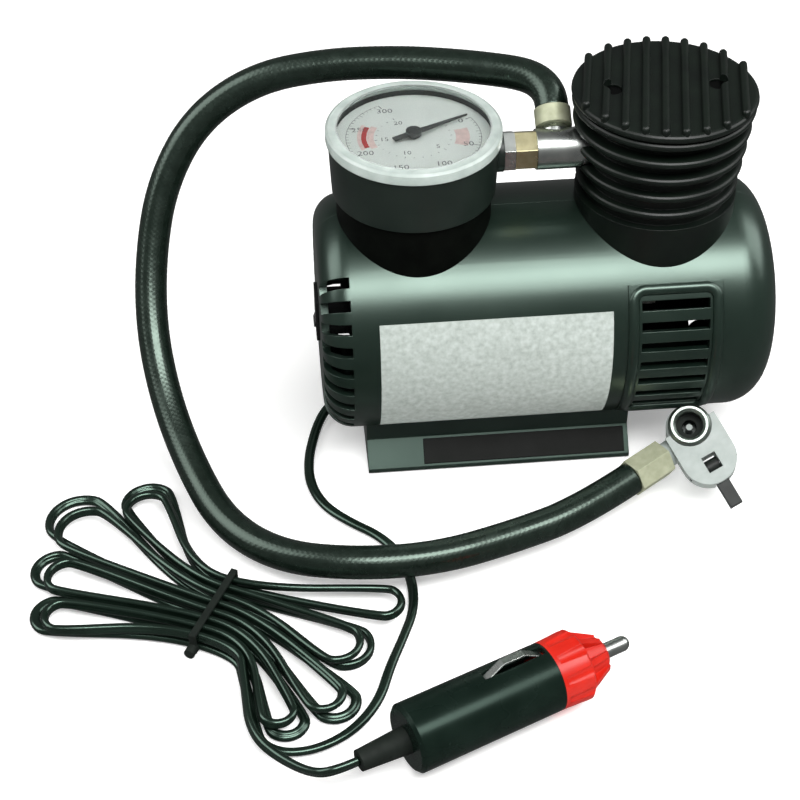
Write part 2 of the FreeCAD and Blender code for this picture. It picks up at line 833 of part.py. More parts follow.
def motor_can():
    body = turned("MotorCan", "X", [
        (MOTOR_BACK, S.motor_radius - S.motor_wall), (S.bracket_left - S.motor_wall,
                                                      S.motor_radius - S.motor_wall),
        (S.bracket_left - S.motor_wall, 4), (S.bracket_left, 4), (S.bracket_left, S.motor_radius),
        (MOTOR_BACK, S.motor_radius)])
    for offset in (-S.motor_screw_offset, S.motor_screw_offset):
        bored(body, "MotorScrewHole", S.case_screw_radius, 6, S.bracket_left - 4, offset, 0, ALONG_X)
    place(body, 0, 0, MOTOR_Z)
    return node(body, "motor_can")


def motor_end_bell():
    """The plastic end with two brush boxes."""
    inner = S.motor_radius - S.motor_wall - 0.05
    plug = turned("MotorEndBell", "X", [
        (MOTOR_BACK - S.end_bell_thickness, 4), (MOTOR_BACK, 4), (MOTOR_BACK, inner - 2),
        (MOTOR_BACK + 3, inner - 2), (MOTOR_BACK + 3, inner), (MOTOR_BACK, inner), (MOTOR_BACK,
                                                                                    S.motor_radius),
        (MOTOR_BACK - S.end_bell_thickness, S.motor_radius)])
    boxes = []
    for side in (-1, 1):
        centre = S.commutator_radius * side + 4.5 * side
        shell = block(7, 6, 5, MOTOR_BACK - 0.5, centre - 3, -2.5)
        boxes.append(cut(shell, block(9, 7, 3, MOTOR_BACK + 2.6, centre - 3.5, -1.5)))
    return node(moved(fuse(plug, *boxes), 0, 0, MOTOR_Z), "motor_end_bell")


def motor_magnets():
    outer = S.motor_radius - S.motor_wall
    ring = tube(outer, outer - S.magnet_thickness, MOTOR_LENGTH - 16, MOTOR_BACK + 7, 0, 0, ALONG_X)
    gap_block = block(MOTOR_LENGTH - 14, 16, 2 * outer, MOTOR_BACK + 6, -8, -outer)
    return node(moved(cut(ring, gap_block), 0, 0, MOTOR_Z), "motor_magnets")


def bronze_bushings():
    """The two bearings of the motor's shaft and the one of the crank."""
    bore = S.motor_shaft_radius + S.running_clearance
    front = tube(4, bore, 3, S.bracket_left - 3, 0, MOTOR_Z, ALONG_X)
    rear = tube(4, bore, S.end_bell_thickness - 0.5, MOTOR_BACK - S.end_bell_thickness, 0, MOTOR_Z, ALONG_X)
    crank = tube(4.2, S.shaft_radius + S.running_clearance, S.bracket_thickness, S.bracket_left, 0,
                 CRANK_Z, ALONG_X)
    return node(group(front, rear, crank), "bronze_bushings")


def motor_brushes():
    brushes = []
    for side in (-1, 1):
        start = (S.commutator_radius + 0.2) * side
        low = start if side > 0 else start - 7
        brushes.append(block(3.6, 7, 2.8, MOTOR_BACK + 2.8, low, -1.4))
    return node(moved(group(*brushes), 0, 0, MOTOR_Z), "motor_brushes")


def motor_shaft():
    start = MOTOR_BACK - S.end_bell_thickness - S.gap - S.fan_width - 1
    end = S.gear_left + S.gear_face + 2
    return node(cylinder(S.motor_shaft_radius, end - start, start, 0, MOTOR_Z, ALONG_X), "motor_shaft")


ARMATURE_LEFT = MOTOR_BACK + 11


def slot_blocks(depth_from, reach, width, start, length):
    """Radial bars set evenly round the motor shaft."""
    bars = []
    for number in range(ARMATURE_SLOTS):
        bar = block(length, width, reach, 0, -width / 2, depth_from)
        bars.append(moved(bar, start, 0, 0, FreeCAD.Rotation(X_AXIS, 360.0 / ARMATURE_SLOTS * number)))
    return bars


def armature_core():
    core = tube(S.armature_radius, S.motor_shaft_radius, ARMATURE_LENGTH, ARMATURE_LEFT, 0, 0, ALONG_X)
    tools = slot_blocks(5.5, S.armature_radius, 3.6, ARMATURE_LEFT - 1, ARMATURE_LENGTH + 2)
    return node(moved(cut(core, *tools), 0, 0, MOTOR_Z), "armature_core")


def armature_windings():
    length = ARMATURE_LENGTH
    ends = [tube(S.armature_radius - 1.4, S.motor_shaft_radius + 0.8, 4, start, 0, 0, ALONG_X)
            for start in (ARMATURE_LEFT - 4.05, ARMATURE_LEFT + length + 0.05)]
    bars = slot_blocks(5.8, 5, 3, ARMATURE_LEFT - 1, length + 2)
    return node(moved(fuse(*ends, *bars), 0, 0, MOTOR_Z), "armature_windings")


def commutator():
    ring = tube(S.commutator_radius, S.motor_shaft_radius, 5, MOTOR_BACK + 1.6, 0, 0, ALONG_X)
    tools = slot_blocks(S.commutator_radius - 0.6, 2, 0.4, MOTOR_BACK + 1, 7)
    return node(moved(cut(ring, *tools), 0, 0, MOTOR_Z), "commutator")


def motor_fan():
    """Straight blades on a hub behind the motor."""
    left = MOTOR_BACK - S.end_bell_thickness - S.gap - S.fan_width
    hub = tube(4.5, S.motor_shaft_radius, S.fan_width, left, 0, 0, ALONG_X)
    blades = []
    for number in range(FAN_BLADES):
        pitch = FreeCAD.Rotation(X_AXIS, 360.0 / FAN_BLADES * number)
        blade = block(S.fan_width * 0.95, 1, S.fan_radius - 4, left + 0.1, -0.5, 4)
        blades.append(moved(blade, 0, 0, 0, pitch))
    return node(moved(fuse(hub, *blades), 0, 0, MOTOR_Z), "motor_fan")


def gear_body(name, teeth, left, face, bore):
    """A spur gear with straight-sided teeth, centred on the X axis."""
    pitch_radius = S.gear_pitch_module * (teeth / 2)
    root_radius = pitch_radius - S.gear_pitch_module * 1.1
    tip_radius = pitch_radius + S.gear_pitch_module * 0.8
    body = new_body(name)
    disc = outline(body, "XZ_Plane", [(left, bore), (left + face, bore), (left + face, root_radius),
                                      (left, root_radius)], name + "Disc")
    revolve(body, disc, "X_Axis", 360, name + "Turn")
    tooth = outline(body, "YZ_Plane", [
        (-S.gear_pitch_module * 0.85, root_radius - 0.3), (S.gear_pitch_module * 0.85, root_radius - 0.3),
        (S.gear_pitch_module * 0.22, tip_radius), (-S.gear_pitch_module * 0.22, tip_radius)],
        name + "ToothSketch")
    tooth.AttachmentOffset = FreeCAD.Placement(Vector(0, 0, left.value), UPRIGHT)
    bind(tooth, "AttachmentOffset.Base.z", left)
    pad = body.newObject("PartDesign::Pad", name + "Tooth")
    pad.Profile = tooth
    bind(pad, "Length", face)
    pattern = body.newObject("PartDesign::PolarPattern", name + "Teeth")
    pattern.Originals = [pad]
    pattern.Axis = (origin_feature(body, "X_Axis"), [""])
    pattern.Angle = 360
    pattern.Occurrences = teeth
    body.Tip = pattern
    return body


def motor_pinion():
    body = gear_body("MotorPinion", PINION_TEETH, S.gear_left, S.gear_face, S.motor_shaft_radius)
    place(body, 0, 0, MOTOR_Z)
    return node(body, "motor_pinion")


def drive_gear():
    """The big gear is turned half a tooth so that it meshes with the pinion below it."""
    body = gear_body("DriveGear", GEAR_TEETH, S.gear_left, S.gear_face, S.shaft_radius)
    place(body, 0, 0, CRANK_Z, FreeCAD.Rotation(X_AXIS, 180.0 / GEAR_TEETH))
    return node(body, "drive_gear")


def crank_shaft():
    """The shaft with its disc, which is bored for the crank pin."""
    start = BRACKET_RIGHT - 3.2
    disc_left = S.gear_left + S.gear_face + S.gap
    shaft = cylinder(S.shaft_radius, CRANK_FACE - start, start, 0, 0, ALONG_X)
    disc = cylinder(S.crank_disc_radius, S.crank_disc_thickness, disc_left, 0, 0, ALONG_X)
    eye = cylinder(S.crank_pin_radius, S.crank_disc_thickness, disc_left, 0, -S.crank_radius, ALONG_X)
    return node(moved(cut(fuse(shaft, disc), eye), 0, 0, CRANK_Z), "crank_shaft")


CRANK_FACE = S.gear_left + S.gear_face + S.gap + S.crank_disc_thickness


# Pump

def pump_bracket():
    """A round bulkhead across the housing that carries the motor, the crank and the cylinder deck."""
    seat_radius = INNER_RADIUS - 0.1
    plate = cylinder(seat_radius, S.bracket_thickness, S.bracket_left, 0, S.axis_height, ALONG_X)
    crown = block(S.bracket_thickness + 2, 80, 40, S.bracket_left - 1, -40, DECK_TOP)
    pilot = cylinder(5.2, S.bracket_thickness + 2, S.bracket_left - 1, 0, MOTOR_Z, ALONG_X)
    bearing = cylinder(4.2, S.bracket_thickness + 2, S.bracket_left - 1, 0, CRANK_Z, ALONG_X)
    holes = [cylinder(S.case_screw_radius, S.bracket_thickness + 2, S.bracket_left - 1, offset, MOTOR_Z,
                      ALONG_X)
             for offset in (-S.motor_screw_offset, S.motor_screw_offset)]
    vents = [cylinder(5, S.bracket_thickness + 2, S.bracket_left - 1, offset, S.axis_height - 4, ALONG_X)
             for offset in (-26, 26)]
    deck = block(S.deck_reach - BRACKET_RIGHT, 2 * S.deck_half_width, S.deck_thickness, BRACKET_RIGHT,
                 -S.deck_half_width, DECK_FOOT)
    gussets = [block(12, 1.6, 14, BRACKET_RIGHT, low, DECK_FOOT - 14)
               for low in (-S.deck_half_width, S.deck_half_width - 1.6)]
    passage = cylinder(S.bore_radius + 0.6, S.deck_thickness + 2, PUMP_X, 0, DECK_FOOT - 1)
    gear_reach = S.gear_pitch_module * (GEAR_TEETH / 2 + 1)
    gear_slot = block(S.gear_face + 1, 1.3 * gear_reach, 2 * gear_reach, S.gear_left - 0.5,
                      -0.65 * gear_reach,
                      CRANK_Z - gear_reach)
    bolt_holes = [cylinder(S.head_bolt_radius, S.deck_thickness + 2, x, y, DECK_FOOT - 1)
                  for x, y in bolt_places()]
    made = cut(fuse(cut(plate, crown), deck, *gussets), pilot, bearing, passage, gear_slot, *holes, *vents,
               *bolt_holes)
    return node(made, "pump_bracket")


def bolt_places():
    """Four bolts at the corners of a square round the cylinder."""
    reach = S.head_bolt_circle * SQUARE_ROOT_HALF
    return [(PUMP_X + reach * east, reach * north) for east in (-1, 1) for north in (-1, 1)]


def motor_screws():
    turn = FreeCAD.Rotation(Y_AXIS, 90)
    return [screw(S.case_screw_radius, BRACKET_RIGHT - S.bracket_left + 3, S.screw_head_radius,
                  S.screw_head_height * 0.75, S.bracket_left - 3, offset, MOTOR_Z, turn)
            for offset in (-S.motor_screw_offset, S.motor_screw_offset)]


def pump_cylinder():
    outer = S.bore_radius + S.cylinder_wall
    body = turned("PumpCylinder", "Z", [
        (DECK_TOP, S.bore_radius), (DECK_TOP, S.flange_radius), (DECK_TOP + S.flange_height, S.flange_radius),
        (DECK_TOP + S.flange_height, outer), (BARREL_TOP, outer), (BARREL_TOP, S.bore_radius)])
    reach = S.head_bolt_circle * SQUARE_ROOT_HALF
    for east in (-1, 1):
        for north in (-1, 1):
            bored(body, "BoltHole", S.head_bolt_radius, 40, reach * east, reach * north, DECK_TOP - 1)
    place(body, PUMP_X, 0, 0)
    return node(body, "pump_cylinder")


def valve_plate():
    plate = cylinder(S.head_radius, S.valve_plate_thickness, PUMP_X, 0, BARREL_TOP)
    ports = [cylinder(1.4, S.valve_plate_thickness + 2, PUMP_X + offset, 0, BARREL_TOP - 1)
             for offset in (-S.outlet_offset, S.outlet_offset)]
    bolts = [cylinder(S.head_bolt_radius, 6, x, y, BARREL_TOP - 1) for x, y in bolt_places()]
    return node(cut(plate, *ports, *bolts), "valve_plate")


def reed_valve():
    """A thin leaf under the inlet port of the valve plate."""
    leaf = block(9, 5, 0.25, PUMP_X, -2.5, BARREL_TOP - 0.25)
    return node(leaf, "reed_valve")


def cylinder_head():
    head = cylinder(S.head_radius, S.head_height, PUMP_X, 0, HEAD_FOOT)
    chamber_x = PUMP_X - S.outlet_offset
    chamber = cylinder(S.chamber_radius, S.head_height - 2.6, chamber_x, 0, HEAD_FOOT)
    outlet = cylinder(S.tee_spigot_radius + S.running_clearance, S.tee_spigot_length,
                      S.tee_right, 0, LINE_Z, ALONG_X)
    passage = cylinder(1.5, chamber_x - S.tee_right, S.tee_right, 0, LINE_Z, ALONG_X)
    inlet = cylinder(S.chamber_radius, 4, PUMP_X + S.outlet_offset, 0, HEAD_FOOT)
    intake = cylinder(1.8, S.head_radius, PUMP_X + S.outlet_offset, 0, HEAD_FOOT + 2.2, ALONG_X)
    bolts = [cylinder(S.head_bolt_radius, S.head_height + 2, x, y, HEAD_FOOT - 1) for x, y in bolt_places()]
    pilots = [cylinder(S.case_screw_radius, 5, PUMP_X + offset, 0, HEAD_TOP - 3.3)
              for offset in (-S.cover_screw_offset, S.cover_screw_offset)]
    return node(cut(head, chamber, outlet, passage, inlet, intake, *bolts, *pilots), "cylinder_head")


def head_bolts():
    length = HEAD_TOP - DECK_FOOT
    return [screw(S.head_bolt_radius, length, S.screw_head_radius, S.screw_head_height, x, y, DECK_FOOT,
                  UPRIGHT)
            for x, y in bolt_places()]


BALL_Z = HEAD_FOOT + S.ball_radius + 0.05


def outlet_valve():
    """A ball on its port and the short spring that holds it there."""
    start = BALL_Z + S.ball_radius + 0.05
    end = HEAD_FOOT + S.head_height - 2.6
    place_x = PUMP_X - S.outlet_offset
    spring = coil(S.chamber_radius - 0.7, 0.25, end - start, 4, place_x, 0, start)
    return node(group(ball(S.ball_radius, place_x, 0, BALL_Z), spring), "outlet_valve")


def coil(radius, wire, length, turns, x, y, z, turn=UPRIGHT):
    """A helical spring as one pipe along its helix."""
    height = as_size(length).value - 2 * wire
    reach = as_size(radius).value
    helix = Part.makeHelix(height / turns, height, reach)
    section = Part.Wire([Part.makeCircle(wire, Vector(reach, 0, 0), Y_AXIS)])
    made = DOC.addObject("Part::Feature", "Coil")
    made.Shape = Part.Wire(helix.Edges).makePipeShell([section], True, False)
    values = [as_size(number).value for number in (x, y, z)]
    made.Placement = FreeCAD.Placement(Vector(*values) + turn.multVec(Vector(0, 0, wire)), turn)
    return made


def connecting_rod():
    """The rod and crown of a wobble piston, at the bottom of its stroke."""
    left = PUMP_X - S.rod_width / 2
    eye = cylinder(S.rod_eye_radius, S.rod_width, left, 0, PIN_Z, ALONG_X)
    shank_top = PIN_Z + S.rod_length - S.seal_thickness - S.retainer_thickness - 1.6
    shank = block(S.rod_width, 6, shank_top - PIN_Z, left, -3, PIN_Z)
    crown = cylinder(S.crown_radius, 2, PUMP_X, 0, shank_top - 0.4)
    stud = cylinder(2, SEAL_FOOT + S.seal_thickness - shank_top, PUMP_X, 0, shank_top)
    retainer = cylinder(S.crown_radius - 1.4, S.retainer_thickness, PUMP_X, 0, SEAL_FOOT + S.seal_thickness)
    bore = cylinder(S.crank_pin_radius, S.rod_width, left, 0, PIN_Z, ALONG_X)
    return node(cut(fuse(eye, shank, crown, stud, retainer), bore), "connecting_rod")


SEAL_FOOT = PIN_Z + S.rod_length - S.seal_thickness - S.retainer_thickness


def piston_seal():
    body = turned("PistonSeal", "Z", [
        (SEAL_FOOT, 2), (SEAL_FOOT, S.bore_radius - 0.3), (SEAL_FOOT + S.seal_thickness + 0.5,
                                                           S.bore_radius - 0.06),
        (SEAL_FOOT + S.seal_thickness + 0.5, S.bore_radius - 0.8), (SEAL_FOOT + S.seal_thickness,
                                                                    S.bore_radius - 1.2),
        (SEAL_FOOT + S.seal_thickness, 2)])
    place(body, PUMP_X, 0, 0)
    return node(body, "piston_seal")


def crank_pin():
    start = CRANK_FACE + S.gap
    end = PUMP_X + S.rod_width / 2 + 0.8
    return node(cylinder(S.crank_pin_radius, end - start, start, 0, PIN_Z, ALONG_X), "crank_pin")


def round_edge(foot, thickness, radius):
    """Corners round the edge of a disc that starts at one height."""
    half = thickness / 2
    return [(foot + half + half * math.sin(math.radians(turn)), radius - half + half * math.cos(math.radians(turn)))
            for turn in range(-90, 91, 30)]


def cap_rib(across, chord):
    """A ridge across the cap with a round back and round ends."""
    back = S.rib_width / 2
    level = CAP_TOP + S.rib_height - back
    foot = CAP_TOP - 0.5
    reach = chord - back
    pieces = [block(S.rib_width, 2 * reach, level - foot, across - back, -reach, foot),
              cylinder(back, 2 * reach, across, -reach, level, ALONG_Y)]
    for end in (-reach, reach):
        pieces.append(cylinder(back, level - foot, across, end, foot))
        pieces.append(ball(back, across, end, level))
    return fuse(*pieces)


def pump_cover():
    """The finned cover on its skirt, with slanting ribs across its cap and a hole for the air line."""
    core = S.cover_inner_radius + S.cover_wall
    cap_foot = CAP_TOP - S.cap_thickness
    corners = [(COVER_FOOT, S.cover_inner_radius), (COVER_FOOT, S.collar_radius),
               (COVER_FOOT + S.collar_height, S.collar_radius), (COVER_FOOT + S.collar_height, core)]
    for number in range(FIN_COUNT):
        foot = FIRST_FIN_Z + S.fin_pitch * number - S.fin_thickness / 2
        radius = S.fin_first_radius + S.fin_growth * number
        corners += [(foot, core), *round_edge(foot, S.fin_thickness, radius), (foot + S.fin_thickness, core)]
    corners += [(cap_foot, core), *round_edge(cap_foot, S.cap_thickness, S.cap_radius), (CAP_TOP, 0),
                (cap_foot, 0), (cap_foot, S.cover_inner_radius)]
    body = turned("PumpCover", "Z", corners)
    for offset in (-S.cover_screw_offset, S.cover_screw_offset):
        bored(body, "Post", S.cover_post_radius, cap_foot - HEAD_TOP, offset, 0, HEAD_TOP, UPRIGHT,
              "Additive")
    place(body, PUMP_X, 0, 0)
    ribs = []
    for number in range(RIB_COUNT):
        across = S.rib_pitch * (number - (RIB_COUNT - 1) / 2)
        chord = root(S.cap_radius * S.cap_radius - across * across) - 0.6
        ribs.append(cap_rib(across, chord))
    slanting_ribs = moved(group(*ribs), PUMP_X, 0, 0, FreeCAD.Rotation(Vector(0, 0, -1), 1))
    bind(slanting_ribs, "Placement.Rotation.Angle", S.rib_turn)
    skirt = saddle_ring(S.collar_radius, S.cover_inner_radius, COVER_FOOT, PUMP_X)
    air_hole = cylinder(S.tee_radius + S.gap, S.cap_radius, PUMP_X - S.cap_radius - 1, 0, LINE_Z, ALONG_X)
    screw_holes = [cylinder(S.case_screw_radius, 20, PUMP_X + offset, 0, HEAD_TOP - 1)
                   for offset in (-S.cover_screw_offset, S.cover_screw_offset)]
    head_seats = [cylinder(S.screw_head_radius + 0.1, 20, PUMP_X + offset, 0, CAP_TOP - S.screw_head_height)
                  for offset in (-S.cover_screw_offset, S.cover_screw_offset)]
    intake = cylinder(1.8, 20, PUMP_X + S.cover_inner_radius - 4, 0, HEAD_FOOT + 2.2, ALONG_X)
    cover = fuse(body, slanting_ribs, skirt)
    return node(cut(cover, air_hole, intake, *screw_holes, *head_seats), "pump_cover")


def cover_screws():
    tip = HEAD_TOP - 3.2
    seat = CAP_TOP - S.screw_head_height
    return [screw(S.case_screw_radius, seat - tip, S.screw_head_radius, S.screw_head_height * 0.8,
                  PUMP_X + offset, 0, tip, UPRIGHT) for offset in (-S.cover_screw_offset,
                                                                   S.cover_screw_offset)]


def steel_screws():
    """Every screw of the body, base, motor, cylinder head and cover."""
    screws = housing_screws() + base_screws() + motor_screws() + head_bolts() + cover_screws()
    return node(group(*screws), "steel_screws")


# Pressure gauge

def gauge_mount():
    """The black saddle that carries the gauge and slips over a boss of the housing."""
    ring = saddle_ring(S.mount_radius, S.mount_radius - S.mount_wall, CASE_FOOT, GAUGE_X)
    return node(ring, "gauge_mount")


def gauge_case():
    """A cup with a ledge under the dial and a lug where the stem leaves."""
    foot = CASE_FOOT
    inner = S.case_radius - S.case_wall
    body = turned("GaugeCase", "Z", [
        (foot, 0), (foot, S.case_radius - 0.8), (CASE_TOP, S.case_radius), (CASE_TOP, inner),
        (DIAL_TOP - S.dial_thickness, inner), (DIAL_TOP - S.dial_thickness, inner - 1.2), (foot + 2,
                                                                                           inner - 1.2),
        (foot + 2, 0)])
    place(body, GAUGE_X, 0, 0)
    lug = cylinder(6, 2.6, GAUGE_X + S.case_radius - 1.6, 0, LINE_Z, ALONG_X)
    hole = cylinder(S.stem_radius + 0.55, 10, GAUGE_X + inner - 4, 0, LINE_Z, ALONG_X)
    return node(cut(fuse(body, lug), hole), "gauge_case")


STEM_FACE = GAUGE_X + S.case_radius + 1


def gauge_stem():
    """The brass socket of the gauge, with its nickel hexagon and thread."""
    block_left = GAUGE_X + S.case_radius - S.case_wall - 10
    root_block = block(6, 9, 8, block_left, -4.5, LINE_Z - 4)
    neck = cylinder(S.stem_radius + 0.5, STEM_FACE - block_left, block_left, 0, LINE_Z, ALONG_X)
    flats = hexagon(S.hex_flats, S.stem_hex_length, STEM_FACE, 0, LINE_Z, ALONG_X)
    thread_start = STEM_FACE + S.stem_hex_length
    thread = cylinder(S.stem_radius, S.nut_length + 5, thread_start, 0, LINE_Z, ALONG_X)
    return node(fuse(root_block, neck, flats, thread), "gauge_stem")


def bourdon_tube():
    """The flattened C-shaped tube, sealed at one end and brazed to the stem at the other."""
    body = new_body("BourdonTube")
    half = S.bourdon_height / 2
    profile = outline(body, "XZ_Plane", [(S.bourdon_radius, -half), (S.bourdon_radius + S.bourdon_thickness,
                                                                     -half),
                                         (S.bourdon_radius + S.bourdon_thickness, half), (S.bourdon_radius,
                                                                                          half)],
                      "BourdonProfile")
    revolve(body, profile, "Z_Axis", S.bourdon_sweep, "BourdonTurn")
    place(body, GAUGE_X, 0, LINE_Z, FreeCAD.Rotation(Z_AXIS, 16))
    return node(body, "bourdon_tube")


REAR_POST_X = GAUGE_X - S.rear_post_offset
PINION_FOOT = MOVEMENT_FLOOR + S.movement_plate + 3.4


def gauge_movement():
    """Two plates on posts that carry the needle's spindle."""
    span = S.rear_post_offset + 9
    low = block(span, 9, S.movement_plate, REAR_POST_X - 4, -4.5, MOVEMENT_FLOOR)
    high_foot = MOVEMENT_FLOOR + S.movement_plate + S.movement_gap
    high = block(span, 9, S.movement_plate, REAR_POST_X - 4, -4.5, high_foot)
    posts = [cylinder(0.9, S.movement_gap, GAUGE_X + 3.6, side * 3.4, MOVEMENT_FLOOR + S.movement_plate)
             for side in (-1, 1)]
    seat = cylinder(3, MOVEMENT_FLOOR - CASE_FOOT - 2, GAUGE_X, 0, CASE_FOOT + 2)
    pivot = cylinder(S.spindle_radius, S.movement_gap + 1, REAR_POST_X, 0, MOVEMENT_FLOOR + 0.5)
    hole = cylinder(S.spindle_radius + S.running_clearance, 30, GAUGE_X, 0, MOVEMENT_FLOOR + 0.2)
    return node(cut(fuse(low, high, seat, pivot, *posts), hole), "gauge_movement")


def gauge_needle():
    """The pointer on its spindle, drawn along X and turned to zero on the dial."""
    top = DIAL_TOP + S.needle_lift
    blade = extruded("NeedleBlade", "XY_Plane", [
        (-S.needle_tail, -0.9), (0, -1), (S.needle_length, -0.2), (S.needle_length, 0.2), (0, 1),
        (-S.needle_tail, 0.9)], 0.5)
    place(blade, 0, 0, top)
    hub = cylinder(2.3, 1.4, 0, 0, top - 0.3)
    spindle_foot = MOVEMENT_FLOOR + 0.3
    spindle = cylinder(S.spindle_radius, top - spindle_foot, 0, 0, spindle_foot)
    pinion = cylinder(S.spindle_pinion_radius, 2, 0, 0, PINION_FOOT)
    needle = moved(fuse(blade, hub, spindle, pinion), GAUGE_X, 0, 0, FreeCAD.Rotation(Z_AXIS, 1))
    bind(needle, "Placement.Rotation.Angle", S.needle_angle)
    return node(needle, "gauge_needle")


def gauge_dial():
    disc = tube(S.dial_radius, S.spindle_radius + 0.5, S.dial_thickness, GAUGE_X, 0,
                DIAL_TOP - S.dial_thickness)
    return node(disc, "gauge_dial")


def gauge_lens():
    """A clear cap: a flat window with a band that stands on the case."""
    body = turned("GaugeLens", "Z", [
        (CASE_TOP, S.lens_radius - 2.2), (CASE_TOP, S.lens_radius), (CASE_TOP + S.lens_height - 0.6,
                                                                     S.lens_radius),
        (CASE_TOP + S.lens_height, S.lens_radius - 0.8), (CASE_TOP + S.lens_height, 0),
        (CASE_TOP + S.lens_height - S.lens_wall, 0), (CASE_TOP + S.lens_height - S.lens_wall,
                                                      S.lens_radius - 2.2)])
    place(body, GAUGE_X, 0, 0)
    return node(body, "gauge_lens")


# Air line

def gauge_nut():
    start = STEM_FACE + S.stem_hex_length
    nut = hexagon(S.hex_flats - 0.4, S.nut_length, start, 0, LINE_Z, ALONG_X)
    bore = cylinder(S.stem_radius, S.nut_length, start, 0, LINE_Z, ALONG_X)
    return node(cut(nut, bore), "gauge_nut")


BRANCH_TURN = FreeCAD.Rotation(X_AXIS, S.branch_rise.value - 90)
TEE_LEFT = STEM_FACE + S.stem_hex_length + S.nut_length


def branch_point(distance):
    """A place on the branch of the tee, at a distance from the air line's axis."""
    return (S.tee_centre, cosine(S.branch_rise) * distance, LINE_Z + sine(S.branch_rise) * distance)


def tee_fitting():
    body = cylinder(S.tee_radius, S.tee_right - TEE_LEFT, TEE_LEFT, 0, LINE_Z, ALONG_X)
    spigot = cylinder(S.tee_spigot_radius, S.tee_spigot_length, S.tee_right, 0, LINE_Z, ALONG_X)
    branch = cylinder(4.6, S.branch_root - 1.6, *branch_point(as_size(0)), BRANCH_TURN)
    shoulder = cone(4.6, 3.4, 1.6, *branch_point(S.branch_root - 1.6), BRANCH_TURN)
    socket = cylinder(S.stem_radius, 5, TEE_LEFT, 0, LINE_Z, ALONG_X)
    passage = cylinder(1.5, S.tee_right + S.tee_spigot_length - TEE_LEFT, TEE_LEFT, 0, LINE_Z, ALONG_X)
    riser = cylinder(1.5, S.branch_root + 1, *branch_point(as_size(0)), BRANCH_TURN)
    made = cut(fuse(body, spigot, branch, shoulder), socket, passage, riser)
    return node(made, "tee_fitting")


# Cord and hose routes

def fillet_route(points, name):
    """Straight runs joined by arcs as large as their runs allow; prints the arcs' radii."""
    edges = []
    radii = []
    start = points[0]
    for before, corner, after in zip(points, points[1:], points[2:]):
        back = before - corner
        onward = after - corner
        half_turn = (math.pi - back.getAngle(onward)) / 2
        trim = 0.45 * min(back.Length, onward.Length)
        radii.append(trim / math.tan(half_turn))
        back.normalize()
        onward.normalize()
        first = corner + back * trim
        last = corner + onward * trim
        toward = (back + onward).normalize()
        middle = corner + toward * (radii[-1] / math.cos(half_turn) - radii[-1])
        edges.append(Part.LineSegment(start, first).toShape())
        edges.append(Part.Arc(first, middle, last).toShape())
        start = last
    edges.append(Part.LineSegment(start, points[-1]).toShape())
    print("%s radii %s" % (name, " ".join("%.0f" % radius for radius in radii)))
    return Part.Wire(edges)


def pipe(wire, radius, label, bore=0):
    """A round tube along a wire, compared with its section times its length."""
    start = wire.Edges[0]
    tangent = start.tangentAt(start.FirstParameter)
    origin = start.valueAt(start.FirstParameter)

    def swept(size):
        section = Part.Wire([Part.makeCircle(size, origin, tangent)])
        return wire.makePipeShell([section], True, False)

    solid = swept(radius)
    area = math.pi * radius * radius
    if bore:
        solid = solid.cut(swept(bore))
        area -= math.pi * bore * bore
    print("%s length %.1f volume ratio %.4f" % (label, wire.Length, solid.Volume / (area * wire.Length)))
    made = DOC.addObject("Part::Feature", label)
    made.Shape = solid
    return node(made, label)


# The hose as it lies: its first points stand above the air line, where it bends over from the tee behind the
# gauge, and the others lead down the left end and forward along the ground
HOSE_TOP_POINTS = [
    (2.1, 15.6, 10.4), (0.2, 18.6, 11.4), (-2.4, 21.2, 11.8), (-6.2, 23.8, 11.8), (-12.4, 27.1, 11.3),
    (-22.9, 31.5, 10.7), (-40, 36.6, 9.9), (-62, 41.4, 7.5), (-84, 43.6, 2.5), (-102.8, 40.6, -9.3),
]
HOSE_POINTS = [
    (-114.6, 32.4, 73.8), (-119.8, 20.6, 54.8), (-121, 5.6, 37.6), (-117.6, -12.2, 23.2),
    (-110.8, -31.6, 12.9), (-101.6, -52.2, 7.6), (-85.6, -68.4, 8.2), (-63, -76.4, 11.2), (-39.2, -76.4,
                                                                                           11.2),
    (-15.8, -68.2, 9.6),
]

# The chuck's mouth stands just clear of the housing; its ferrule lies below and in front of it
MOUTH = Vector(41.9, -S.body_radius.value - 3.7, 24.4)
CHUCK_FERRULE_START = MOUTH + Vector(-19, -9.8, -11.8)
CHUCK_FERRULE_END = MOUTH + Vector(-8.1, -2.9, -10.76)

# The lead from the gland round to the hank
LEAD_POINTS = [
    (-62.6, 4, 5), (-66.6, 2.2, 3.7), (-69.8, -2.4, 2.2), (-72.2, -9.6, 1.5), (-74.4, -20, 1.5), (-74.6, -31,
                                                                                                  1.5),
    (-71, -41.4, 1.5), (-63.4, -49.4, 1.5), (-54.8, -56, 1.5), (-49, -65, 1.5), (-46.6, -76, 1.5),
    (-47.2, -87, 1.5), (-51.4, -97.4, 1.5), (-56.2, -108, 1.5), (-60, -119.4, 1.5), (-67.6, -129, 1.5),
    (-77.6, -134.4, 1.5), (-86.8, -135, 1.5), (-93, -131.4, 1.5), (-94.6, -125.2, 1.5),
]

# The short tail from the hank to the plug
TAIL_POINTS = [(-96.2, -125.6, 4.9), (-93.8, -132.8, 5), (-88.4, -138.8, 4.8), (-81, -146.2, 7.4)]


def route(first, middle, last):
    return [first] + [Vector(*point) for point in middle] + [last]


def vector(*numbers):
    return Vector(*[as_size(number).value for number in numbers])


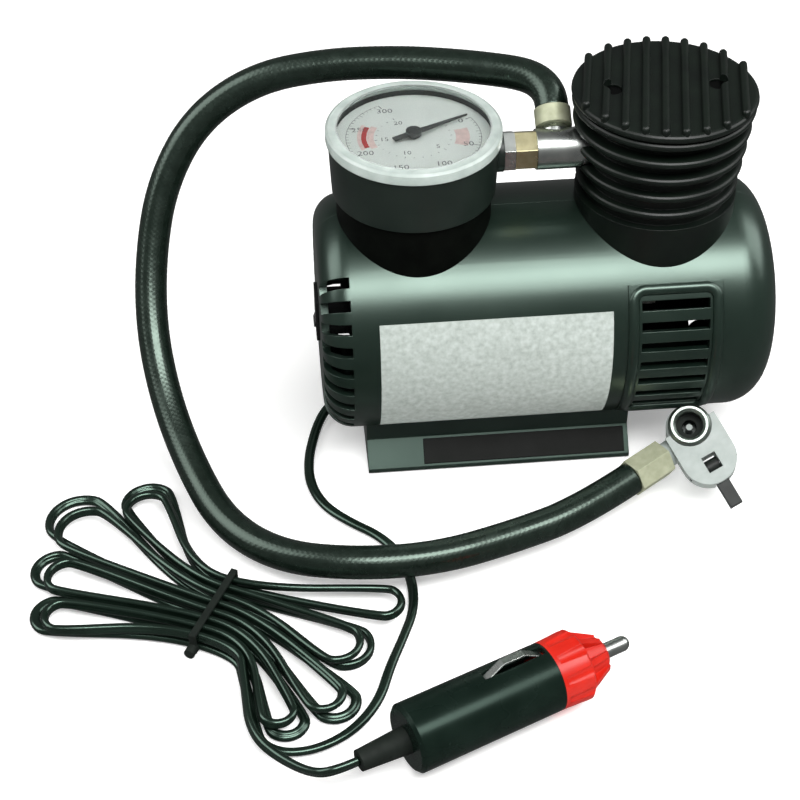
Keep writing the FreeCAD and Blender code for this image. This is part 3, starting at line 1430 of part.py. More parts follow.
def air_hose():
    start = vector(*branch_point(S.branch_root + S.ferrule_length))
    leaving = vector(*branch_point(S.branch_root + S.ferrule_length + 3.2))
    arriving = CHUCK_FERRULE_START - (CHUCK_FERRULE_END - CHUCK_FERRULE_START).normalize() * 21
    over = [(x, y, LINE_Z.value + rise) for x, y, rise in HOSE_TOP_POINTS]
    middle = [leaving] + over + HOSE_POINTS + [arriving]
    wire = fillet_route(route(start, middle, CHUCK_FERRULE_START), "air_hose")
    return pipe(wire, S.hose_radius.value, "air_hose", S.hose_bore_radius.value)


# Chuck, in a frame at its mouth: U across, V towards the tail, W out of the mouth

CHUCK_W = Vector(-0.20, -0.58, 0.79).normalize()
CHUCK_LEAN = Vector(10, -19, -12)
CHUCK_V = (CHUCK_LEAN - CHUCK_W * CHUCK_LEAN.dot(CHUCK_W)).normalize()
CHUCK_U = CHUCK_V.cross(CHUCK_W)
CHUCK_TURN = FreeCAD.Rotation(CHUCK_U, CHUCK_V, CHUCK_W, "ZXY")


def in_chuck(thing):
    """Carry a piece drawn in the chuck's frame to where the chuck lies."""
    made = group(thing)
    made.Placement = FreeCAD.Placement(MOUTH, CHUCK_TURN)
    return made


def chuck_body():
    """The barrel with its valve pin, the flat tail whose slot holds the lever, and the hose neck."""
    barrel = cylinder(S.chuck_barrel_radius, S.chuck_depth - S.chuck_ring_length, 0, 0, -S.chuck_depth)
    low = -S.chuck_tail_depth
    height = S.chuck_tail_depth - S.chuck_ring_length * 0.2
    tail_round = cylinder(S.chuck_tail_radius, height, 0, S.chuck_tail_offset, low)
    web = block(2 * S.chuck_tail_radius, S.chuck_tail_offset, height, -S.chuck_tail_radius, 0, low)
    ring_space = cylinder(S.chuck_ring_radius + 0.2, S.chuck_ring_length + 1, 0, 0, -S.chuck_ring_length)
    bore = cylinder(S.mouth_radius + 0.4, S.chuck_depth - 2, 0, 0, 2 - S.chuck_depth)
    slot_half = S.lever_width / 2 + S.gap
    slot_start = S.lever_pivot - 3.2
    slot_roof = LEVER_LEVEL + S.lever_thickness / 2 + S.gap
    slot = block(2 * slot_half, 20, slot_roof - low + 1, -slot_half, slot_start, low - 1)
    notch = block(2 * slot_half, 5.2, S.chuck_tail_depth, -slot_half, slot_start, slot_roof)
    pin_hole = cylinder(1, 2 * S.chuck_tail_radius, -S.chuck_tail_radius, S.lever_pivot, LEVER_LEVEL, ALONG_X)
    body = in_chuck(cut(fuse(barrel, tail_round, web), slot, notch, pin_hole))
    neck_direction = CHUCK_FERRULE_END - CHUCK_FERRULE_START
    neck = cylinder(S.chuck_neck_radius, 8.6)
    neck_turn = FreeCAD.Rotation(Z_AXIS, neck_direction)
    neck_here = group(neck)
    neck_here.Placement = FreeCAD.Placement(CHUCK_FERRULE_END, neck_turn)
    depressor = cylinder(1, S.chuck_depth - 1 - S.chuck_ring_length, 0, 0, 1 - S.chuck_depth)
    hollow = in_chuck(fuse(bore, ring_space))
    return node(fuse(cut(fuse(body, neck_here), hollow), in_chuck(depressor)), "chuck_body")


LEVER_LEVEL = -S.chuck_tail_depth / 2


def chuck_ring():
    """The nut at the mouth, whose bore takes the tyre valve."""
    straight = S.chuck_ring_length - S.ring_round
    outside = fuse(cylinder(S.chuck_ring_radius, straight, 0, 0, -S.chuck_ring_length),
                   cone(S.chuck_ring_radius, S.chuck_ring_radius - S.ring_round, S.ring_round, 0, 0, -S.ring_round))
    bore = cylinder(S.mouth_radius, S.chuck_ring_length, 0, 0, -S.chuck_ring_length)
    flare = cone(S.mouth_radius, S.mouth_radius + S.ring_round, S.ring_round, 0, 0, -S.ring_round)
    return node(in_chuck(cut(outside, bore, flare)), "chuck_ring")


def chuck_seal():
    seal = tube(S.mouth_radius + 0.4, 2.2, 3, 0, 0, -S.chuck_ring_length - 3)
    return node(in_chuck(seal), "chuck_seal")


def chuck_lever():
    """The thumb lever, lying straight out of the tail."""
    half = S.lever_width / 2
    arm = block(S.lever_width, S.lever_length, S.lever_thickness, -half, S.lever_pivot,
                LEVER_LEVEL - S.lever_thickness / 2)
    eye = cylinder(2.2, S.lever_width, -half, S.lever_pivot, LEVER_LEVEL, ALONG_X)
    bore = cylinder(1 + S.running_clearance, S.lever_width, -half, S.lever_pivot, LEVER_LEVEL, ALONG_X)
    return node(in_chuck(cut(fuse(arm, eye), bore)), "chuck_lever")


def lever_pin():
    length = 2 * root(S.chuck_tail_radius * S.chuck_tail_radius
                      - (S.lever_pivot - S.chuck_tail_offset) * (S.lever_pivot - S.chuck_tail_offset))
    pin = cylinder(1, length, -length / 2, S.lever_pivot, LEVER_LEVEL, ALONG_X)
    return node(in_chuck(pin), "lever_pin")


def hose_ferrules():
    """The crimped collars at both ends of the hose."""
    at_tee = tube(S.ferrule_radius, S.hose_bore_radius, S.ferrule_length, *branch_point(S.branch_root),
                  BRANCH_TURN)
    direction = CHUCK_FERRULE_END - CHUCK_FERRULE_START
    crimped = hexagon(2 * S.ferrule_radius - 0.4, direction.Length)
    at_chuck = cut(crimped, cylinder(S.hose_bore_radius, direction.Length))
    carried = group(at_chuck)
    carried.Placement = FreeCAD.Placement(CHUCK_FERRULE_START, FreeCAD.Rotation(Z_AXIS, direction))
    return node(group(at_tee, carried), "hose_ferrules")


# Power cord

def cord_gland():
    """A rubber grommet in the left end of the base."""
    flange = cylinder(S.gland_radius, S.gland_length, -S.base_left - S.gland_length, S.gland_side,
                      S.gland_height,
                      ALONG_X)
    collar = cylinder(S.gland_radius - 0.5, S.base_wall, -S.base_left, S.gland_side, S.gland_height, ALONG_X)
    return node(fuse(flange, collar), "cord_gland")


HANK_CENTRE = Vector(-105, -83.5, 0)
HANK_ANGLE = -27
# Headings of the strands where they leave the waist, and how large their end loops are
LEFT_FAN = [127, 149, 149, 171, 171, 185, 185, 200]
LEFT_LOOPS = [1.06, 1.41, 0.97, 0.86]
RIGHT_FAN = [4, 4, -19, -19, -36, -36, -54, -54]
RIGHT_LOOPS = [0.93, 1.23, 1.02, 0.87]
CLIMB_HEADING = 27
FAN_SHIFT = 5
ENTRY_RUN = 12


class Strand:
    """Where one strand leaves the waist on one side, and the way it goes from there."""

    def __init__(self, number, layer, side, heading):
        pitch = S.hank_pitch.value
        top = pitch * (HANK_STRANDS - 1) / 2
        across = top - pitch * number
        heading = heading - FAN_SHIFT * layer * side
        self.level = S.cord_radius.value + 0.1 + pitch * layer
        ahead = 0 if side > 0 else 180
        turn = (heading - ahead + 180) % 360 - 180
        upward = turn * side > 0
        distance = (top - across) if upward else (top + across)
        radius = S.hank_turn_radius.value + distance
        sign = 1 if upward else -1
        self.waist = Vector(side * S.hank_waist.value / 2, across, self.level)
        centre = self.waist + Vector(0, sign * radius, 0)
        swing = math.radians(abs(turn))
        self.bend = centre + Vector(side * radius * math.sin(swing / 2),
                                    -sign * radius * math.cos(swing / 2), 0)
        self.exit = centre + Vector(side * radius * math.sin(swing), -sign * radius * math.cos(swing), 0)
        self.way = Vector(math.cos(math.radians(heading)), math.sin(math.radians(heading)), 0)
        self.straight = abs(turn) < 0.01


def fold_between(first, second, radius):
    """The end loop that joins two strands: its tangent points and its centre."""
    clockwise = first.way.cross(second.way).z < 0
    sign = -1 if clockwise else 1
    first_normal = Vector(-first.way.y, first.way.x, 0) * sign
    second_normal = Vector(-second.way.y, second.way.x, 0) * -sign
    gap_vector = (second.exit + second_normal * radius) - (first.exit + first_normal * radius)
    gap_vector.z = 0
    scale = first.way.x * second.way.y - first.way.y * second.way.x
    run = (gap_vector.x * second.way.y - gap_vector.y * second.way.x) / scale
    back = (gap_vector.x * first.way.y - gap_vector.y * first.way.x) / scale
    centre = first.exit + first.way * run + first_normal * radius
    return first.exit + first.way * run, second.exit + second.way * back, centre


def rising_run(start, end):
    """A run that climbs to the next layer on two equal arcs, level at both ends."""
    rise = end.z - start.z
    if abs(rise) < 0.001:
        return [Part.LineSegment(start, end).toShape()]
    flat = Vector(end.x - start.x, end.y - start.y, 0)
    middle = (start + end) * 0.5
    quarter = start + flat * 0.25 + Vector(0, 0, rise * 0.25 - arc_sag(flat.Length / 2, rise / 2))
    three_quarters = end - flat * 0.25 - Vector(0, 0, rise * 0.25 - arc_sag(flat.Length / 2, rise / 2))
    return [Part.Arc(start, quarter, middle).toShape(), Part.Arc(middle, three_quarters, end).toShape()]


def arc_sag(run, rise):
    """How far the middle of an arc that starts level lies under its chord."""
    radius = (run * run + rise * rise) / (2 * rise)
    return rise / 2 - (radius - math.sqrt(radius * radius - run * run / 4))


def loop_arcs(start, end, centre, outward):
    """The end loop as two arcs, by way of its farthest point."""
    radius = Vector(start.x - centre.x, start.y - centre.y, 0).Length
    level = end.z
    peak = Vector(centre.x, centre.y, level) + outward * radius

    def between(first, second):
        chord = (first + second) * 0.5 - Vector(centre.x, centre.y, level)
        chord.z = 0
        return Vector(centre.x, centre.y, level) + chord.normalize() * radius

    return [Part.Arc(start, between(start, peak), peak).toShape(), Part.Arc(peak, between(peak, end),
                                                                            end).toShape()]


def leave_waist(strand, inward=False):
    if strand.straight:
        return []
    ends = (strand.exit, strand.bend, strand.waist) if inward else (strand.waist, strand.bend, strand.exit)
    return [Part.Arc(*ends).toShape()]


def fold_radius(leftward, number, layer):
    """The end loops are uneven, and smaller in the upper layer."""
    if leftward:
        base = S.left_fold_radius.value * LEFT_LOOPS[number // 2]
    else:
        base = S.right_fold_radius.value * RIGHT_LOOPS[(number + 1) // 2]
    return base * (1 - 0.1 * layer)


def hank_wire():
    """The cord folded to and fro over the waist, down one layer and up the next, as one line."""
    order = [(number, 0) for number in reversed(range(HANK_STRANDS))]
    order += [(number, 1) for number in range(HANK_STRANDS)]
    climb = len(order) // 2
    edges = []
    for position, (number, layer) in enumerate(order):
        leftward = position % 2 == 0
        right = Strand(number, layer, 1, CLIMB_HEADING if position == climb else RIGHT_FAN[number])
        left = Strand(number, layer, -1, LEFT_FAN[number])
        inbound, outbound = (right, left) if leftward else (left, right)
        if position == 0:
            edges.append(Part.LineSegment(inbound.exit + inbound.way * ENTRY_RUN, inbound.exit).toShape())
        edges += leave_waist(inbound, True)
        edges.append(Part.LineSegment(inbound.waist, outbound.waist).toShape())
        edges += leave_waist(outbound)
        if position + 1 == len(order):
            edges.append(Part.LineSegment(outbound.exit, outbound.exit + outbound.way * ENTRY_RUN).toShape())
            continue
        next_number, next_layer = order[position + 1]
        fan = LEFT_FAN if leftward else RIGHT_FAN
        heading = CLIMB_HEADING if position + 1 == climb else fan[next_number]
        following = Strand(next_number, next_layer, -1 if leftward else 1, heading)
        first, last, centre = fold_between(outbound, following, fold_radius(leftward, number, layer))
        lifted = Vector(first.x, first.y, following.level)
        edges += rising_run(outbound.exit, lifted)
        edges += loop_arcs(lifted, last, centre, (outbound.way + following.way).normalize())
        edges.append(Part.LineSegment(last, following.exit).toShape())
    wire = Part.Wire(edges)
    wire.Placement = FreeCAD.Placement(HANK_CENTRE, FreeCAD.Rotation(Z_AXIS, HANK_ANGLE))
    return wire


def least_gap(wire, diameter):
    """The least gap of a wound tube to itself, measured between points of its middle line."""
    step = 1.0
    points = wire.discretize(Distance=step)
    cells = {}
    for index, point in enumerate(points):
        key = (int(point.x // 6), int(point.y // 6), int(point.z // 6))
        cells.setdefault(key, []).append(index)
    away = int(4 * diameter / step)
    least = 1000.0
    neighbours = [(i, j, k) for i in (-1, 0, 1) for j in (-1, 0, 1) for k in (-1, 0, 1)]
    for (east, north, level), indices in cells.items():
        nearby = []
        for i, j, k in neighbours:
            nearby += cells.get((east + i, north + j, level + k), [])
        for index in indices:
            for other in nearby:
                if other > index + away:
                    least = min(least, points[index].distanceToPoint(points[other]))
    return least - diameter


def power_cord_hank():
    wire = hank_wire()
    print("hank least gap %.2f" % least_gap(wire, 2 * S.cord_radius.value))
    pipe(wire, S.cord_radius.value, "power_cord_hank")
    return wire


def wire_ends(wire):
    first = wire.OrderedVertexes[0].Point
    last = wire.OrderedVertexes[-1].Point
    return first, last


def power_cord_lead(hank):
    start = vector(-S.base_left - S.gland_length, S.gland_side, S.gland_height)
    end = wire_ends(hank)[0]
    return pipe(fillet_route(route(start, LEAD_POINTS, end), "power_cord_lead"), S.cord_radius.value,
                "power_cord_lead")


def power_cord_tail(hank):
    start = wire_ends(hank)[1]
    end = plug_point(-S.strain_relief_length.value)
    arriving = plug_point(-S.strain_relief_length.value - 8)
    return pipe(fillet_route(route(start, TAIL_POINTS + [arriving], end), "power_cord_tail"),
                S.cord_radius.value,
                "power_cord_tail")


def cord_tie():
    """A flat band round the waist of the hank, with its twisted end."""
    half_width = S.hank_pitch * ((HANK_STRANDS - 1) / 2) + S.cord_radius + 0.2
    height = S.hank_pitch * (HANK_LAYERS - 1) + 2 * S.cord_radius + 0.2
    wall = S.tie_thickness
    outer = block(S.tie_width, 2 * (half_width + wall), height + wall, -S.tie_width / 2,
                  -(half_width + wall), 0)
    inner = block(S.tie_width + 2, 2 * half_width, height - 0.1, -S.tie_width / 2 - 1, -half_width, 0.1)
    knob = cylinder(1.6, 3.6, 0, -(half_width + wall + 2.6), 2, ALONG_Y)
    band = cut(fuse(outer, knob), inner)
    made = group(band)
    made.Placement = FreeCAD.Placement(HANK_CENTRE, FreeCAD.Rotation(Z_AXIS, HANK_ANGLE))
    return node(made, "cord_tie")


# Plug, in a frame at the rear of its body with X towards the tip

# The plug rests on the crown of its lower contact
PLUG_REAR = Vector(-54.8, -141.4, S.plug_radius.value + S.bow_rise.value)

TIP_FLANGE = S.plug_length + S.nose_length - 6 - 1.6 - 0.1
FUSE_START = TIP_FLANGE - 5 - S.tip_travel - S.fuse_length
CONTACT_TURN = FreeCAD.Rotation(X_AXIS, -S.contact_roll.value)


def plug_point(distance):
    return PLUG_REAR + FreeCAD.Rotation(Z_AXIS, S.plug_angle.value).multVec(Vector(distance, 0, 0))


def in_plug(thing):
    made = group(thing)
    made.Placement = FreeCAD.Placement(PLUG_REAR, FreeCAD.Rotation(Z_AXIS, S.plug_angle.value))
    return made


def plug_body():
    """The black barrel with two side slots for the earth springs and a holder for the fuse."""
    inner = S.plug_radius - S.plug_wall
    body = turned("PlugBody", "X", [
        (0, 2.4), (0, S.plug_radius - 1), (1, S.plug_radius), (S.plug_length, S.plug_radius),
        (S.plug_length, inner), (6, inner), (6, 2.4)])
    openings = [block(S.bow_length + 1, 8, S.bow_width + 0.8, BOW_START - 0.5, low, -(S.bow_width / 2 + 0.4))
                for low in (S.plug_radius - 6, -S.plug_radius - 2)]
    web = tube(inner + 0.1, 1.5, 2, FUSE_START - 2, 0, 0, ALONG_X)
    holder = tube(S.fuse_radius + 1, S.fuse_radius, S.fuse_length * 0.4, FUSE_START, 0, 0, ALONG_X)
    return node(in_plug(fuse(cut(body, moved(group(*openings), turn=CONTACT_TURN)), web, holder)),
                "plug_body")


BOW_START = S.plug_length - S.bow_length - 1.2


def side_contacts():
    """Two bowed spring strips: their feet lie inside the wall and their crowns stand proud of it."""
    inner = S.plug_radius - S.plug_wall + 0.6
    crown = S.plug_radius + S.bow_rise
    start = BOW_START
    end = BOW_START + S.bow_length
    strips = []
    for side in (-1, 1):
        corners = [(start, inner * side), (start + S.bow_length * 0.32, crown * side),
                   (end - S.bow_length * 0.32, crown * side), (end, inner * side), (end,
                                                                                    (inner - 0.5) * side),
                   (end - S.bow_length * 0.3, (crown - 0.6) * side),
                   (start + S.bow_length * 0.3, (crown - 0.6) * side), (start, (inner - 0.5) * side)]
        strips.append(extruded("SideContact", "XY_Plane", corners, S.bow_width, True))
    return node(in_plug(moved(group(*strips), turn=CONTACT_TURN)), "side_contacts")


def plug_nose():
    """The red screw cap: a fluted collar, and a cone whose ribs run down to the tip."""
    start = S.plug_length
    step = start + S.nose_collar
    end = start + S.nose_length
    rim = S.plug_radius + S.nose_rim
    body = turned("PlugNose", "X", [
        (start, 0), (start, S.plug_radius), (step - 0.8, rim), (step, rim - 0.8), (step + 0.2, 6.6),
        (end - 1, 5), (end, 3.8), (end, 0)])
    flutes = []
    for number in range(NOSE_FLUTES):
        flute = cylinder(2.4, S.nose_collar, start + 1.2, rim + 1.6, 0, ALONG_X)
        flutes.append(moved(flute, 0, 0, 0, FreeCAD.Rotation(X_AXIS, 360.0 / NOSE_FLUTES * number)))
    ribs = []
    for number in range(NOSE_RIBS):
        rib = extruded("NoseRib", "XZ_Plane", [
            (step - 1, 3), (step - 1, rim - 0.8), (step, rim - 1), (end - 1, 5.6), (end - 1, 3)], 1.8, True)
        ribs.append(moved(rib, 0, 0, 0, FreeCAD.Rotation(X_AXIS, 360.0 / NOSE_RIBS * number)))
    skirt = tube(S.plug_radius - S.plug_wall, S.plug_tip_radius + 2, 3, start - 3, 0, 0, ALONG_X)
    bore = cylinder(S.plug_tip_radius + 0.06, S.nose_length + 1, start, 0, 0, ALONG_X)
    chamber = cylinder(S.plug_tip_radius + 2, S.nose_length - 6, start, 0, 0, ALONG_X)
    cap = fuse(cut(body, *flutes), skirt, *ribs)
    return node(in_plug(cut(cap, bore, chamber)), "plug_nose")


def plug_tip():
    """The sprung centre contact."""
    pin_length = S.plug_length + S.nose_length + S.plug_tip_reach - TIP_FLANGE - S.plug_tip_radius
    pin = cylinder(S.plug_tip_radius, pin_length, TIP_FLANGE, 0, 0, ALONG_X)
    end = ball(S.plug_tip_radius, TIP_FLANGE + pin_length)
    flange = cylinder(S.plug_tip_radius + 1.2, 1.6, TIP_FLANGE, 0, 0, ALONG_X)
    return node(in_plug(fuse(pin, end, flange)), "plug_tip")


def plug_fuse():
    return node(in_plug(cylinder(S.fuse_radius - 0.05, S.fuse_length, FUSE_START, 0, 0, ALONG_X)),
                "plug_fuse")


def strain_relief():
    length = S.strain_relief_length
    sleeve = cone(3, 3.9, length, -length, 0, 0, ALONG_X)
    stub = cylinder(2.4, 5, 0, 0, 0, ALONG_X)
    return node(in_plug(fuse(sleeve, stub)), "strain_relief")


def build_all():
    housing_half("housing_front", -1)
    housing_half("housing_rear", 1)
    steel_screws()
    rating_label()
    base_foot()
    foot_pads()
    apron_strip()
    switch_frame()
    switch_rocker()
    motor_can()
    motor_end_bell()
    motor_magnets()
    bronze_bushings()
    motor_brushes()
    motor_shaft()
    armature_core()
    armature_windings()
    commutator()
    motor_fan()
    motor_pinion()
    drive_gear()
    crank_shaft()
    pump_bracket()
    pump_cylinder()
    valve_plate()
    reed_valve()
    cylinder_head()
    outlet_valve()
    connecting_rod()
    piston_seal()
    crank_pin()
    pump_cover()
    gauge_mount()
    gauge_case()
    gauge_stem()
    bourdon_tube()
    gauge_movement()
    gauge_needle()
    gauge_dial()
    gauge_lens()
    gauge_nut()
    tee_fitting()
    hose_ferrules()
    air_hose()
    chuck_body()
    chuck_ring()
    chuck_seal()
    chuck_lever()
    lever_pin()
    cord_gland()
    hank = power_cord_hank()
    power_cord_lead(hank)
    power_cord_tail(hank)
    cord_tie()
    plug_body()
    side_contacts()
    plug_nose()
    plug_tip()
    plug_fuse()
    strain_relief()


def export_all():
    DOC.recompute()
    for thing in DOC.Objects:
        if "Invalid" in thing.State or "Error" in thing.State:
            raise RuntimeError("%s (%s) did not build: %s" % (thing.Name, thing.Label, thing.State))
    for thing in NODES:
        shape = thing.Shape
        if shape.isNull() or not shape.isValid() or not shape.Solids:
            raise RuntimeError("%s has no valid solid" % thing.Label)
    for thing in NODES:
        thing.Shape.exportStep("parts/%s.step" % thing.Label)
    print("%d parts written" % len(NODES))


build_all()
export_all()
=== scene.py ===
import math

import bmesh
import bpy
from mathutils import Matrix, Vector


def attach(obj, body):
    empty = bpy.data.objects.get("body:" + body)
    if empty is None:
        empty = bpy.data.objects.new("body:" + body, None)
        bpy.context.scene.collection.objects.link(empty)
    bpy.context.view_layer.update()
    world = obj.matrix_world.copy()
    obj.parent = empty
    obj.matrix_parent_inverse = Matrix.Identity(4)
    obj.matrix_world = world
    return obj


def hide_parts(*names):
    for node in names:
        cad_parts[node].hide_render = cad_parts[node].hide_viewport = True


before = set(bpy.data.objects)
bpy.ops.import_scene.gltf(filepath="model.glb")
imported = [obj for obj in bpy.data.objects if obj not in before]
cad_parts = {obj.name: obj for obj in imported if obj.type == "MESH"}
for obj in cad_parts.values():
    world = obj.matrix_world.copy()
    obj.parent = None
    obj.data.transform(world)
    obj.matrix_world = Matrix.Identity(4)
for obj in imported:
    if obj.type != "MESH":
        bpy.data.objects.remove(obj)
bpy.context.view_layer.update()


# The view: the camera stands in front of the inflator, a little to its left, and looks down on it.
# Its angles are in radians and its place is in metres, from the ground under the middle of the housing.
heading, tilt, roll = 0.0889, 0.7204, -0.0052
ahead = Vector((math.sin(heading) * math.cos(tilt), math.cos(heading) * math.cos(tilt), -math.sin(tilt)))
level = Vector((math.cos(heading), -math.sin(heading), 0))
upward = level.cross(ahead)
across = level * math.cos(roll) + upward * math.sin(roll)
upward = upward * math.cos(roll) - level * math.sin(roll)
camera_data = bpy.data.cameras.new("camera")
camera_data.lens = 79.11
camera_data.sensor_width = 36
camera_data.clip_start = 0.01
camera = bpy.data.objects.new("camera", camera_data)
camera.matrix_world = Matrix((across, upward, -ahead)).transposed().to_4x4()
camera.location = (-0.08155, -0.42941, 0.38475)
bpy.context.collection.objects.link(camera)
bpy.context.scene.camera = camera


# The studio: a pale matt floor with a bright soft box high in front and a weak one at either side.
# A dim white surround fills the shadows, and glossy pieces don't mirror the floor.
def soft_box(name, place, aim, width, depth, watts):
    """A rectangular lamp that hangs at a place and faces its aim."""
    light = bpy.data.lights.new(name, "AREA")
    light.shape = "RECTANGLE"
    light.size = width
    light.size_y = depth
    light.energy = watts
    lamp = bpy.data.objects.new(name, light)
    lamp.location = place
    lamp.rotation_euler = (Vector(aim) - Vector(place)).to_track_quat("-Z", "Y").to_euler()
    bpy.context.collection.objects.link(lamp)


SIDE_AIM = (-0.05, -0.05, 0)
soft_box("front box", place=(0.12, -0.5, 0.9), aim=(0, 0, 0.05), width=0.9, depth=0.36, watts=12.5)
soft_box("left box", place=(-1.3, 0.1, 1.1), aim=SIDE_AIM, width=1.0, depth=1.2, watts=13)
soft_box("right box", place=(1.3, 0.1, 1.1), aim=SIDE_AIM, width=1.0, depth=1.2, watts=13)
surround = bpy.data.worlds.new("surround")
surround.use_nodes = True
surround.node_tree.nodes["Background"].inputs["Color"].default_value = (1, 1, 1, 1)
surround.node_tree.nodes["Background"].inputs["Strength"].default_value = 0.14
bpy.context.scene.world = surround
bpy.context.scene.view_settings.view_transform = "Standard"

FLOOR_REACH = 12
floor_mesh = bpy.data.meshes.new("floor")
floor_corners = [(-FLOOR_REACH, -FLOOR_REACH, 0), (FLOOR_REACH, -FLOOR_REACH, 0),
                 (FLOOR_REACH, FLOOR_REACH, 0), (-FLOOR_REACH, FLOOR_REACH, 0)]
floor_mesh.from_pydata(floor_corners, [], [(0, 1, 2, 3)])
floor = bpy.data.objects.new("floor", floor_mesh)
bpy.context.collection.objects.link(floor)
floor_paint = bpy.data.materials.new("floor_paint")
floor_paint.use_nodes = True
paint = floor_paint.node_tree.nodes["Principled BSDF"]
paint.inputs["Base Color"].default_value = (0.9, 0.9, 0.89, 1)
paint.inputs["Roughness"].default_value = 0.9
paint.inputs["Emission Color"].default_value = (1, 1, 1, 1)
paint.inputs["Emission Strength"].default_value = 0.3
floor_mesh.materials.append(floor_paint)
floor.visible_glossy = False


# Housing halves: two moulded shells in dark green-black nylon with a satin, very finely pebbled face.
# They are moulded as a front and a rear half, and meet on the seam along the top and the bottom.
MM = 0.001
PER_METRE = 1000
SHEEN_PER_METRE = 420
NOISE_LOW = 0.3
NOISE_HIGH = 0.7
GRAIN_STRENGTH = 0.5
EDGE_ROUND = 0.3 * MM
EDGE_SAMPLES = 6


def finish(name, dark, light, patch, gloss, grain, depth, metal=0.0, shine=0.5, tint=(1, 1, 1)):
    """Two tones in soft patches, an uneven gloss, a fine grain and softened edges; sizes in millimetres."""
    material = bpy.data.materials.new(name)
    material.use_nodes = True
    tree = material.node_tree
    shader = tree.nodes["Principled BSDF"]
    shader.inputs["Metallic"].default_value = metal
    shader.inputs["Specular IOR Level"].default_value = shine
    shader.inputs["Specular Tint"].default_value = (*tint, 1)
    place = tree.nodes.new("ShaderNodeTexCoord")
    tones = tree.nodes.new("ShaderNodeTexNoise")
    tones.inputs["Scale"].default_value = PER_METRE / patch
    tones.inputs["Detail"].default_value = 5
    ramp = tree.nodes.new("ShaderNodeValToRGB")
    ramp.color_ramp.elements[0].position = NOISE_LOW
    ramp.color_ramp.elements[0].color = (*dark, 1)
    ramp.color_ramp.elements[1].position = NOISE_HIGH
    ramp.color_ramp.elements[1].color = (*light, 1)
    sheen = tree.nodes.new("ShaderNodeTexNoise")
    sheen.inputs["Scale"].default_value = SHEEN_PER_METRE / patch
    sheen.inputs["Detail"].default_value = 6
    spread = tree.nodes.new("ShaderNodeMapRange")
    spread.inputs["From Min"].default_value = NOISE_LOW
    spread.inputs["From Max"].default_value = NOISE_HIGH
    spread.inputs["To Min"].default_value = gloss[0]
    spread.inputs["To Max"].default_value = gloss[1]
    pebbles = tree.nodes.new("ShaderNodeTexNoise")
    pebbles.inputs["Scale"].default_value = PER_METRE / grain
    pebbles.inputs["Detail"].default_value = 3
    relief = tree.nodes.new("ShaderNodeBump")
    relief.inputs["Strength"].default_value = GRAIN_STRENGTH
    relief.inputs["Distance"].default_value = depth * MM
    soft_edge = tree.nodes.new("ShaderNodeBevel")
    soft_edge.samples = EDGE_SAMPLES
    soft_edge.inputs["Radius"].default_value = EDGE_ROUND
    tree.links.new(soft_edge.outputs["Normal"], relief.inputs["Normal"])
    for texture in (tones, sheen, pebbles):
        tree.links.new(place.outputs["Object"], texture.inputs["Vector"])
    tree.links.new(tones.outputs["Fac"], ramp.inputs["Fac"])
    tree.links.new(ramp.outputs["Color"], shader.inputs["Base Color"])
    tree.links.new(sheen.outputs["Fac"], spread.inputs["Value"])
    tree.links.new(spread.outputs["Result"], shader.inputs["Roughness"])
    tree.links.new(pebbles.outputs["Fac"], relief.inputs["Height"])
    tree.links.new(relief.outputs["Normal"], shader.inputs["Normal"])
    return material


def dress(name, material):
    """Give a part its finish."""
    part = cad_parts[name]
    for holder in part.material_slots:
        holder.material = material
    if not part.material_slots:
        part.data.materials.append(material)


housing_nylon = finish("housing_nylon", (0.004, 0.010, 0.007), (0.007, 0.014, 0.010),
                       patch=14, gloss=(0.27, 0.33), grain=0.5, depth=0.02, shine=1.0, tint=(0.76, 1.0, 0.87))
dress("housing_front", housing_nylon)
dress("housing_rear", housing_nylon)


# Grille border: a rounded bead all round the cooling slots, in the same nylon as the housing.
# It is moulded in one with the front half and stands proud of it.
BARREL_LEVEL = 45.2 * MM
BARREL_RADIUS = 36.5 * MM
BORDER_LEFT = 23.2 * MM
BORDER_RIGHT = 48.4 * MM
BORDER_TOP = math.radians(51)
BORDER_FOOT = math.radians(127.4)
BORDER_CORNER = 3.6 * MM
BEAD_HALF = 1.75 * MM
BEAD_HEIGHT = 1.35 * MM
BEAD_ROOT = 0.2 * MM
BEAD_STEPS = 10
CORNER_STEPS = 8
STRAIGHT_STEPS = 16


def as_piece(name, mesh, smooth=True):
    """A finished mesh as a piece in the scene."""
    data = bpy.data.meshes.new(name)
    mesh.to_mesh(data)
    mesh.free()
    for face in data.polygons:
        face.use_smooth = smooth
    piece = bpy.data.objects.new(name, data)
    bpy.context.collection.objects.link(piece)
    return piece


def border_path():
    """Points round the border as (place along the barrel, angle from the top of the barrel)."""
    corner_turn = BORDER_CORNER / BARREL_RADIUS
    left, right = BORDER_LEFT + BORDER_CORNER, BORDER_RIGHT - BORDER_CORNER
    top, foot = BORDER_TOP + corner_turn, BORDER_FOOT - corner_turn
    corners = [(right, top, -90), (right, foot, 0), (left, foot, 90), (left, top, 180)]
    path = []
    for number, (x, turn, start) in enumerate(corners):
        for step in range(CORNER_STEPS + 1):
            angle = math.radians(start + 90 * step / CORNER_STEPS)
            path.append((x + BORDER_CORNER * math.cos(angle), turn + corner_turn * math.sin(angle)))
        end_x, end_turn = path[-1]
        x, turn, start = corners[(number + 1) % len(corners)]
        angle = math.radians(start)
        next_x, next_turn = x + BORDER_CORNER * math.cos(angle), turn + corner_turn * math.sin(angle)
        for step in range(1, STRAIGHT_STEPS):
            part = step / STRAIGHT_STEPS
            path.append((end_x + (next_x - end_x) * part, end_turn + (next_turn - end_turn) * part))
    return path


